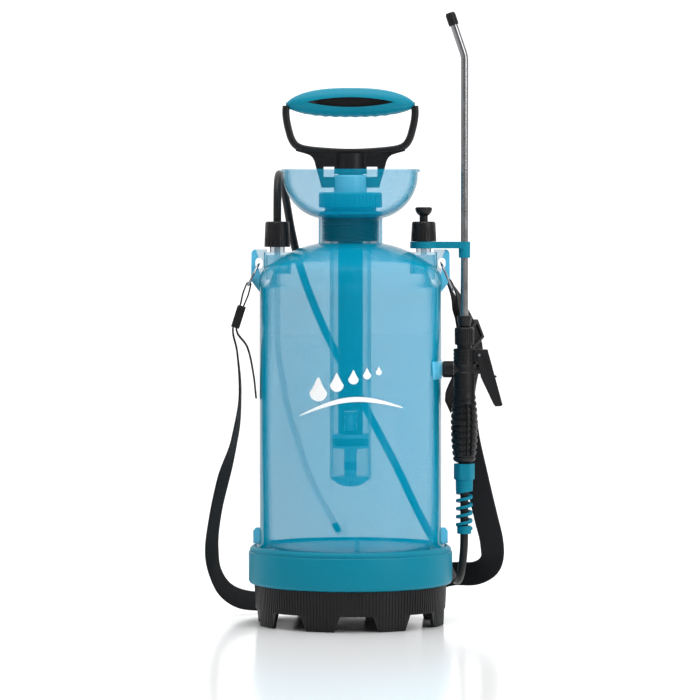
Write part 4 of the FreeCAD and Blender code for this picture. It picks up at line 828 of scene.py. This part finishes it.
def make_handle_grip():
    """The handle's grip: a lens-shaped moulding, hollowed front and back, with finger bumps below; the
    hollows are painted black, partly for the bar inside and partly as painted shade.
    """
    rings = []
    count = 72
    arc = 9
    for i in range(count + 1):
        x = GRIP_HALF * 0.998 * math.sin(math.pi * (i / count - 0.5))
        share = abs(x) / GRIP_HALF
        bow = (1 - share ** 2.6) ** 0.625
        bumps = 0.45 * math.cos(FULL_TURN * x / 10.5) * max(0.0, 1 - (x / 52) ** 4)
        top, bottom = 542 + 17.8 * bow, 541.5 - 12.2 * bow + bumps
        middle, half = (top + bottom) / 2, (top - bottom) / 2
        depth = 16 * max(0.02, 1 - share ** 5) ** 0.5
        hollow = HOLLOW_RISE * max(0.0, 1 - (x / HOLLOW_HALF) ** 2)

        def face_at(z):
            return depth * max(0.0, 1 - abs((z - middle) / half) ** 2.2) ** (1 / 2.2)

        high, low = HOLLOW_MIDDLE + hollow, HOLLOW_MIDDLE - hollow
        floor = min(face_at(high), max(9.0, face_at(high) - 3 * hollow))
        front = []
        for step in range(arc + 1):
            turn = math.pi / 2 * step / arc
            z = high + (top - high) * math.cos(turn)
            front.append((face_at(z), z))
        sink = min(0.5, hollow * 0.2)
        front += [(floor, high - sink), (floor, low + sink)]
        for step in range(arc + 1):
            turn = math.pi / 2 * (1 - step / arc)
            z = low - (low - bottom) * math.cos(turn)
            front.append((face_at(z), z))
        around = [(-y, z) for y, z in front] + [(y, z) for y, z in front[-2:0:-1]]
        rings.append([Vector((x, y, z)) for y, z in around])
    bm = bmesh.new()
    lofted(bm, rings)
    bmesh.ops.remove_doubles(bm, verts=bm.verts, dist=0.02)
    bmesh.ops.dissolve_degenerate(bm, edges=bm.edges, dist=0.005)
    item = piece_from(bm, "handle_grip_moulded", "teal", ["handle_grip"], degrees=40)

    def in_hollow(middle):
        reach = HOLLOW_RISE * (1 - (middle.x / HOLLOW_HALF) ** 2)
        return reach > 0 and abs(middle.z - HOLLOW_MIDDLE) < reach and abs(middle.y) < 13.5

    # The hollow's floor is painted black: partly the black bar inside the grip, partly painted shade deep in
    # the recess.
    return two_finishes(item, "black", in_hollow)


# ---------------------------------------------------------------- gun and hose end


GUN_X = 119.0
GRIP_OUTLINE = ((168.5, 7.3), (170.0, 10.6), (171.6, 11.6), (190.0, 13.5), (212.0, 14.2), (228.0, 13.0),
                (239.8, 11.4), (242.4, 11.2))
GRIP_SLOTS = ((-1.0, 2.8), (4.2, 7.4))


def on_outline(outline, height):
    """The radius an outline of (height, radius) pairs has at a height."""
    for (low, near), (high, far) in zip(outline, outline[1:]):
        if low <= height <= high:
            return near + (far - near) * (height - low) / (high - low)
    return outline[-1][1]


def make_grip(sizes):
    """The gun's grip: finger ribs round it and two upright slots, front and back."""
    pitch = sizes.rib_pitch / MM
    levels = [(radius, height) for height, radius in GRIP_OUTLINE[:3]]
    height = 174.0
    while height < 236.0:
        for step, sink in ((0, 0), (0.5, 1.0), (2.1, 1.0), (2.6, 0), (pitch / 2 + 1.3, -0.25)):
            levels.append((on_outline(GRIP_OUTLINE, height + step) - sink, height + step))
        height += pitch
    levels += [(radius, height) for height, radius in GRIP_OUTLINE[-2:]]

    def slotted(angle, height):
        side = math.cos(angle) * 13.5
        inside = any(low <= side <= high for low, high in GRIP_SLOTS)
        return -2.0 if inside and 176.5 < height < 229.5 else 0.0

    bm = bmesh.new()
    raised_wall(bm, levels, 120, slotted)
    return piece_from(bm, "gun_grip_ribbed", "black", ["gun_grip"], shift=(GUN_X, 0, 0), degrees=38)


def make_gun_ribs():
    """The rings and the upright rib on the gun's bell and lower barrel."""
    bm = bmesh.new()
    for height in (273.6, 277.6, 281.6, 285.4):
        raised_wall(bm, (
            (10.6, height), (11.7, height + 0.1), (11.8, height + 0.6), (11.7, height + 1.1),
            (10.6, height + 1.2), (10.6, height)), 64, closed=True)
    for height in (245.0, 248.6, 259.4):
        raised_wall(bm, (
            (10.6, height), (11.5, height + 0.1), (11.5, height + 0.9), (10.6, height + 1.0), (10.6, height)),
            64, closed=True)
    for angle in (-90, -55, -125, 90):
        turn = Matrix.Rotation(math.radians(angle), 4, "Z")
        middle = turn @ Vector((11.2, 0, 280.2))
        block(bm, middle, (1.4, 1.3, 13.4), turn)
    return piece_from(bm, "gun_ribs", "black", beside="gun_body", shift=(GUN_X, 0, 0))


def make_guard(sizes):
    """The bend guard: a band wound round the hose between a collar and an end ring."""
    pitch = sizes.guard_pitch / MM
    bm = bmesh.new()
    raised_wall(bm, (
        (4.4, 94.0), (6.9, 94.0), (7.5, 95.0), (7.5, 101.4), (6.9, 102.4), (4.4, 102.4), (4.4, 94.0)),
        48, closed=True)
    raised_wall(bm, (
        (4.4, 138.6), (8.5, 138.6), (8.9, 139.2), (8.9, 142.9), (4.4, 142.9), (4.4, 138.6)), 48, closed=True)
    wound_band(bm, ((5.0, 97.6), (8.4, 97.6), (8.8, 98.2), (8.8, 100.2), (8.4, 100.8), (5.0, 100.8)),
               pitch, 4.95)
    return piece_from(bm, "hose_guard_wound", "teal", ["hose_guard"], shift=(GUN_X, 0, 0))


# ---------------------------------------------------------------- stage


def make_world():
    """A white backdrop behind the sprayer and above it, dimmer in front."""
    world = bpy.data.worlds.new("studio")
    world.use_nodes = True
    tree = world.node_tree
    link = tree.links.new
    place = added(tree, "ShaderNodeTexCoord")
    split = added(tree, "ShaderNodeSeparateXYZ")
    link(place.outputs["Generated"], split.inputs[0])
    behind = added(tree, "ShaderNodeMapRange", interpolation_type="SMOOTHSTEP", sockets={
        "From Min": -0.1, "From Max": 0.45, "To Min": 0.28, "To Max": 1.25})
    link(split.outputs["Y"], behind.inputs["Value"])
    above = added(tree, "ShaderNodeMapRange", interpolation_type="SMOOTHSTEP", sockets={
        "From Min": 0.55, "From Max": 0.85, "To Min": 0.0, "To Max": 1.3})
    link(split.outputs["Z"], above.inputs["Value"])
    both = added(tree, "ShaderNodeMath", operation="MAXIMUM")
    link(behind.outputs["Result"], both.inputs[0])
    link(above.outputs["Result"], both.inputs[1])
    seen = added(tree, "ShaderNodeLightPath")
    strength = added(tree, "ShaderNodeMath", operation="MAXIMUM")
    link(both.outputs[0], strength.inputs[0])
    link(seen.outputs["Is Camera Ray"], strength.inputs[1])
    back = tree.nodes["Background"]
    back.inputs["Color"].default_value = (1, 1, 1, 1)
    link(strength.outputs[0], back.inputs["Strength"])
    return world


def make_stage(sizes, colours):
    """Pale glossy floor, soft studio light and the camera."""
    scene = bpy.context.scene
    scene.view_settings.view_transform = "Standard"
    scene.world = make_world()

    bm = bmesh.new()
    bmesh.ops.create_grid(bm, x_segments=1, y_segments=1, size=9)
    mesh = bpy.data.meshes.new("floor")
    bm.to_mesh(mesh)
    bm.free()
    ground = bpy.data.objects.new("floor", mesh)
    scene.collection.objects.link(ground)
    finish = bpy.data.materials.new("studio_floor")
    finish.use_nodes = True
    shader = finish.node_tree.nodes["Principled BSDF"]
    shader.inputs["Base Color"].default_value = solid(colours.floor)
    shader.inputs["Roughness"].default_value = 0.16
    mesh.materials.append(finish)

    for name, place, size, power in (
            ("key", (1.7, -1.5, 1.3), (0.9, 1.6), 24.0),
            ("fill", (-1.9, -1.2, 1.2), (0.6, 1.6), 4.0),
            ("top", (0.0, -0.2, 2.2), (1.6, 1.0), 22.0)):
        lamp = bpy.data.lights.new(name, "AREA")
        lamp.shape = "RECTANGLE"
        lamp.size, lamp.size_y = size
        lamp.energy = power
        lamp_object = bpy.data.objects.new(name, lamp)
        lamp_object.location = place
        aim = Vector((0, 0, 0.3)) - Vector(place)
        lamp_object.rotation_euler = aim.to_track_quat("-Z", "Y").to_euler()
        scene.collection.objects.link(lamp_object)

    view = bpy.data.cameras.new("camera")
    view.lens = 216.7
    camera = bpy.data.objects.new("camera", view)
    camera.location = (sizes.camera_side, -sizes.camera_distance, sizes.camera_height)
    aim = Vector((sizes.camera_side, 0, sizes.aim_height)) - Vector(camera.location)
    camera.rotation_euler = aim.to_track_quat("-Z", "Y").to_euler()
    scene.collection.objects.link(camera)
    scene.camera = camera


# ---------------------------------------------------------------- operators


class SprayerOperator:
    """What every operator here shares."""

    bl_options = {"REGISTER", "UNDO"}

    @property
    def sizes(self):
        return bpy.context.scene.sprayer_sizes

    @property
    def colours(self):
        return bpy.context.scene.sprayer_colours

    def dress(self, *nodes):
        """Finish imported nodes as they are, with softened edges."""
        return [dressed(node, rounding=self.sizes.edge_round) for node in nodes]


class SPRAYER_OT_stage(SprayerOperator, bpy.types.Operator):
    """Add the floor, the lights and the camera"""

    bl_idname = "sprayer.stage"
    bl_label = "Stage"

    def execute(self, context):
        make_stage(self.sizes, self.colours)
        return {"FINISHED"}


class SPRAYER_OT_hose(SprayerOperator, bpy.types.Operator):
    """Add the hose"""

    bl_idname = "sprayer.hose"
    bl_label = "Hose"

    def execute(self, context):
        MATERIALS.update(make_materials(self.colours))
        make_hose(self.sizes)
        return {"FINISHED"}


class SPRAYER_OT_strap(SprayerOperator, bpy.types.Operator):
    """Add the carrying strap"""

    bl_idname = "sprayer.strap"
    bl_label = "Carrying strap"

    def execute(self, context):
        make_webbing(self.sizes)
        return {"FINISHED"}


class SPRAYER_OT_tank(SprayerOperator, bpy.types.Operator):
    """Add the clear tank, its printed mark and the funnel"""

    bl_idname = "sprayer.tank"
    bl_label = "Tank and funnel"

    def execute(self, context):
        make_tank()
        make_mark()
        dressed("funnel", "funnel", rounding=self.sizes.edge_round)
        return {"FINISHED"}


class SPRAYER_OT_base(SprayerOperator, bpy.types.Operator):
    """Add the base ring and the fluted foot"""

    bl_idname = "sprayer.base"
    bl_label = "Base"

    def execute(self, context):
        self.dress("base_ring")
        make_foot(self.sizes)
        return {"FINISHED"}


class SPRAYER_OT_fittings(SprayerOperator, bpy.types.Operator):
    """Add the hose outlet, the dip tube, the safety valve and the lance holder"""

    bl_idname = "sprayer.fittings"
    bl_label = "Side fittings"

    def execute(self, context):
        self.dress("outlet_nut", "outlet_barb", "outlet_seal", "dip_tube", "suction_strainer", "valve_nut",
                   "valve_spring", "valve_knob", "valve_seal", "lance_holder")
        return {"FINISHED"}


class SPRAYER_OT_pump(SprayerOperator, bpy.types.Operator):
    """Add the pump: cap, cylinder, valves and piston"""

    bl_idname = "sprayer.pump"
    bl_label = "Pump"

    def execute(self, context):
        cap = self.dress("pump_gasket", "pump_cap")[1]
        # Below the thread's top the cap takes the darker teal: painted shade inside the neck.
        two_finishes(cap, "thread_shade", lambda middle: middle.z < CAP_THREAD_TOP)
        self.dress("pump_cylinder", "pump_collar", "foot_valve", "foot_valve_sleeve", "piston_head",
                   "piston_ring", "plunger_tube")
        make_cap_thread()
        return {"FINISHED"}


class SPRAYER_OT_handle(SprayerOperator, bpy.types.Operator):
    """Add the pump's handle and its grip"""

    bl_idname = "sprayer.handle"
    bl_label = "Handle"

    def execute(self, context):
        make_handle_frame()
        make_handle_grip()
        return {"FINISHED"}


class SPRAYER_OT_gun(SprayerOperator, bpy.types.Operator):
    """Add the spray gun with its trigger, valve and hose guard"""

    bl_idname = "sprayer.gun"
    bl_label = "Gun"

    def execute(self, context):
        self.dress("gun_body", "gun_valve_cap", "lance_nut", "lance_oring", "grip_filter", "trigger_pin",
                   "hose_nut", "hose_tail", "gun_valve_stem", "gun_valve_seal", "gun_valve_spring", "trigger")
        make_grip(self.sizes)
        make_gun_ribs()
        make_guard(self.sizes)
        return {"FINISHED"}


class SPRAYER_OT_lance(SprayerOperator, bpy.types.Operator):
    """Add the steel lance and its nozzle"""

    bl_idname = "sprayer.lance"
    bl_label = "Lance"

    def execute(self, context):
        self.dress("lance_tube", "lance_collar", "nozzle_core", "nozzle_cap")
        return {"FINISHED"}


class SPRAYER_OT_hangers(SprayerOperator, bpy.types.Operator):
    """Add the wire rings and sliders of the carrying strap"""

    bl_idname = "sprayer.hangers"
    bl_label = "Strap rings and sliders"

    def execute(self, context):
        self.dress("strap_ring_left", "strap_ring_right", "strap_slider_left", "strap_slider_right")
        return {"FINISHED"}


OPERATORS = (
    SPRAYER_OT_stage, SPRAYER_OT_hose, SPRAYER_OT_strap, SPRAYER_OT_tank, SPRAYER_OT_base,
    SPRAYER_OT_fittings, SPRAYER_OT_pump, SPRAYER_OT_handle, SPRAYER_OT_gun, SPRAYER_OT_lance,
    SPRAYER_OT_hangers)


class SPRAYER_PT_pieces(bpy.types.Panel):
    """Lists the sprayer's pieces and sizes"""

    bl_label = "Pump Sprayer"
    bl_idname = "SPRAYER_PT_pieces"
    bl_space_type = "VIEW_3D"
    bl_region_type = "UI"
    bl_category = "Sprayer"

    def draw(self, context):
        for group in (context.scene.sprayer_sizes, context.scene.sprayer_colours):
            box = self.layout.box()
            for name in group.__annotations__:
                box.prop(group, name)
        for operator in OPERATORS:
            self.layout.operator(operator.bl_idname)


CLASSES = (SprayerSizes, SprayerColours) + OPERATORS + (SPRAYER_PT_pieces,)


def register():
    for each in CLASSES:
        bpy.utils.register_class(each)
    bpy.types.Scene.sprayer_sizes = bpy.props.PointerProperty(type=SprayerSizes)
    bpy.types.Scene.sprayer_colours = bpy.props.PointerProperty(type=SprayerColours)


def unregister():
    del bpy.types.Scene.sprayer_colours
    del bpy.types.Scene.sprayer_sizes
    for each in reversed(CLASSES):
        bpy.utils.unregister_class(each)


def main():
    register()
    for operator in OPERATORS:
        getattr(bpy.ops.sprayer, operator.bl_idname.split(".")[1])()


if __name__ == "__main__":
    main()
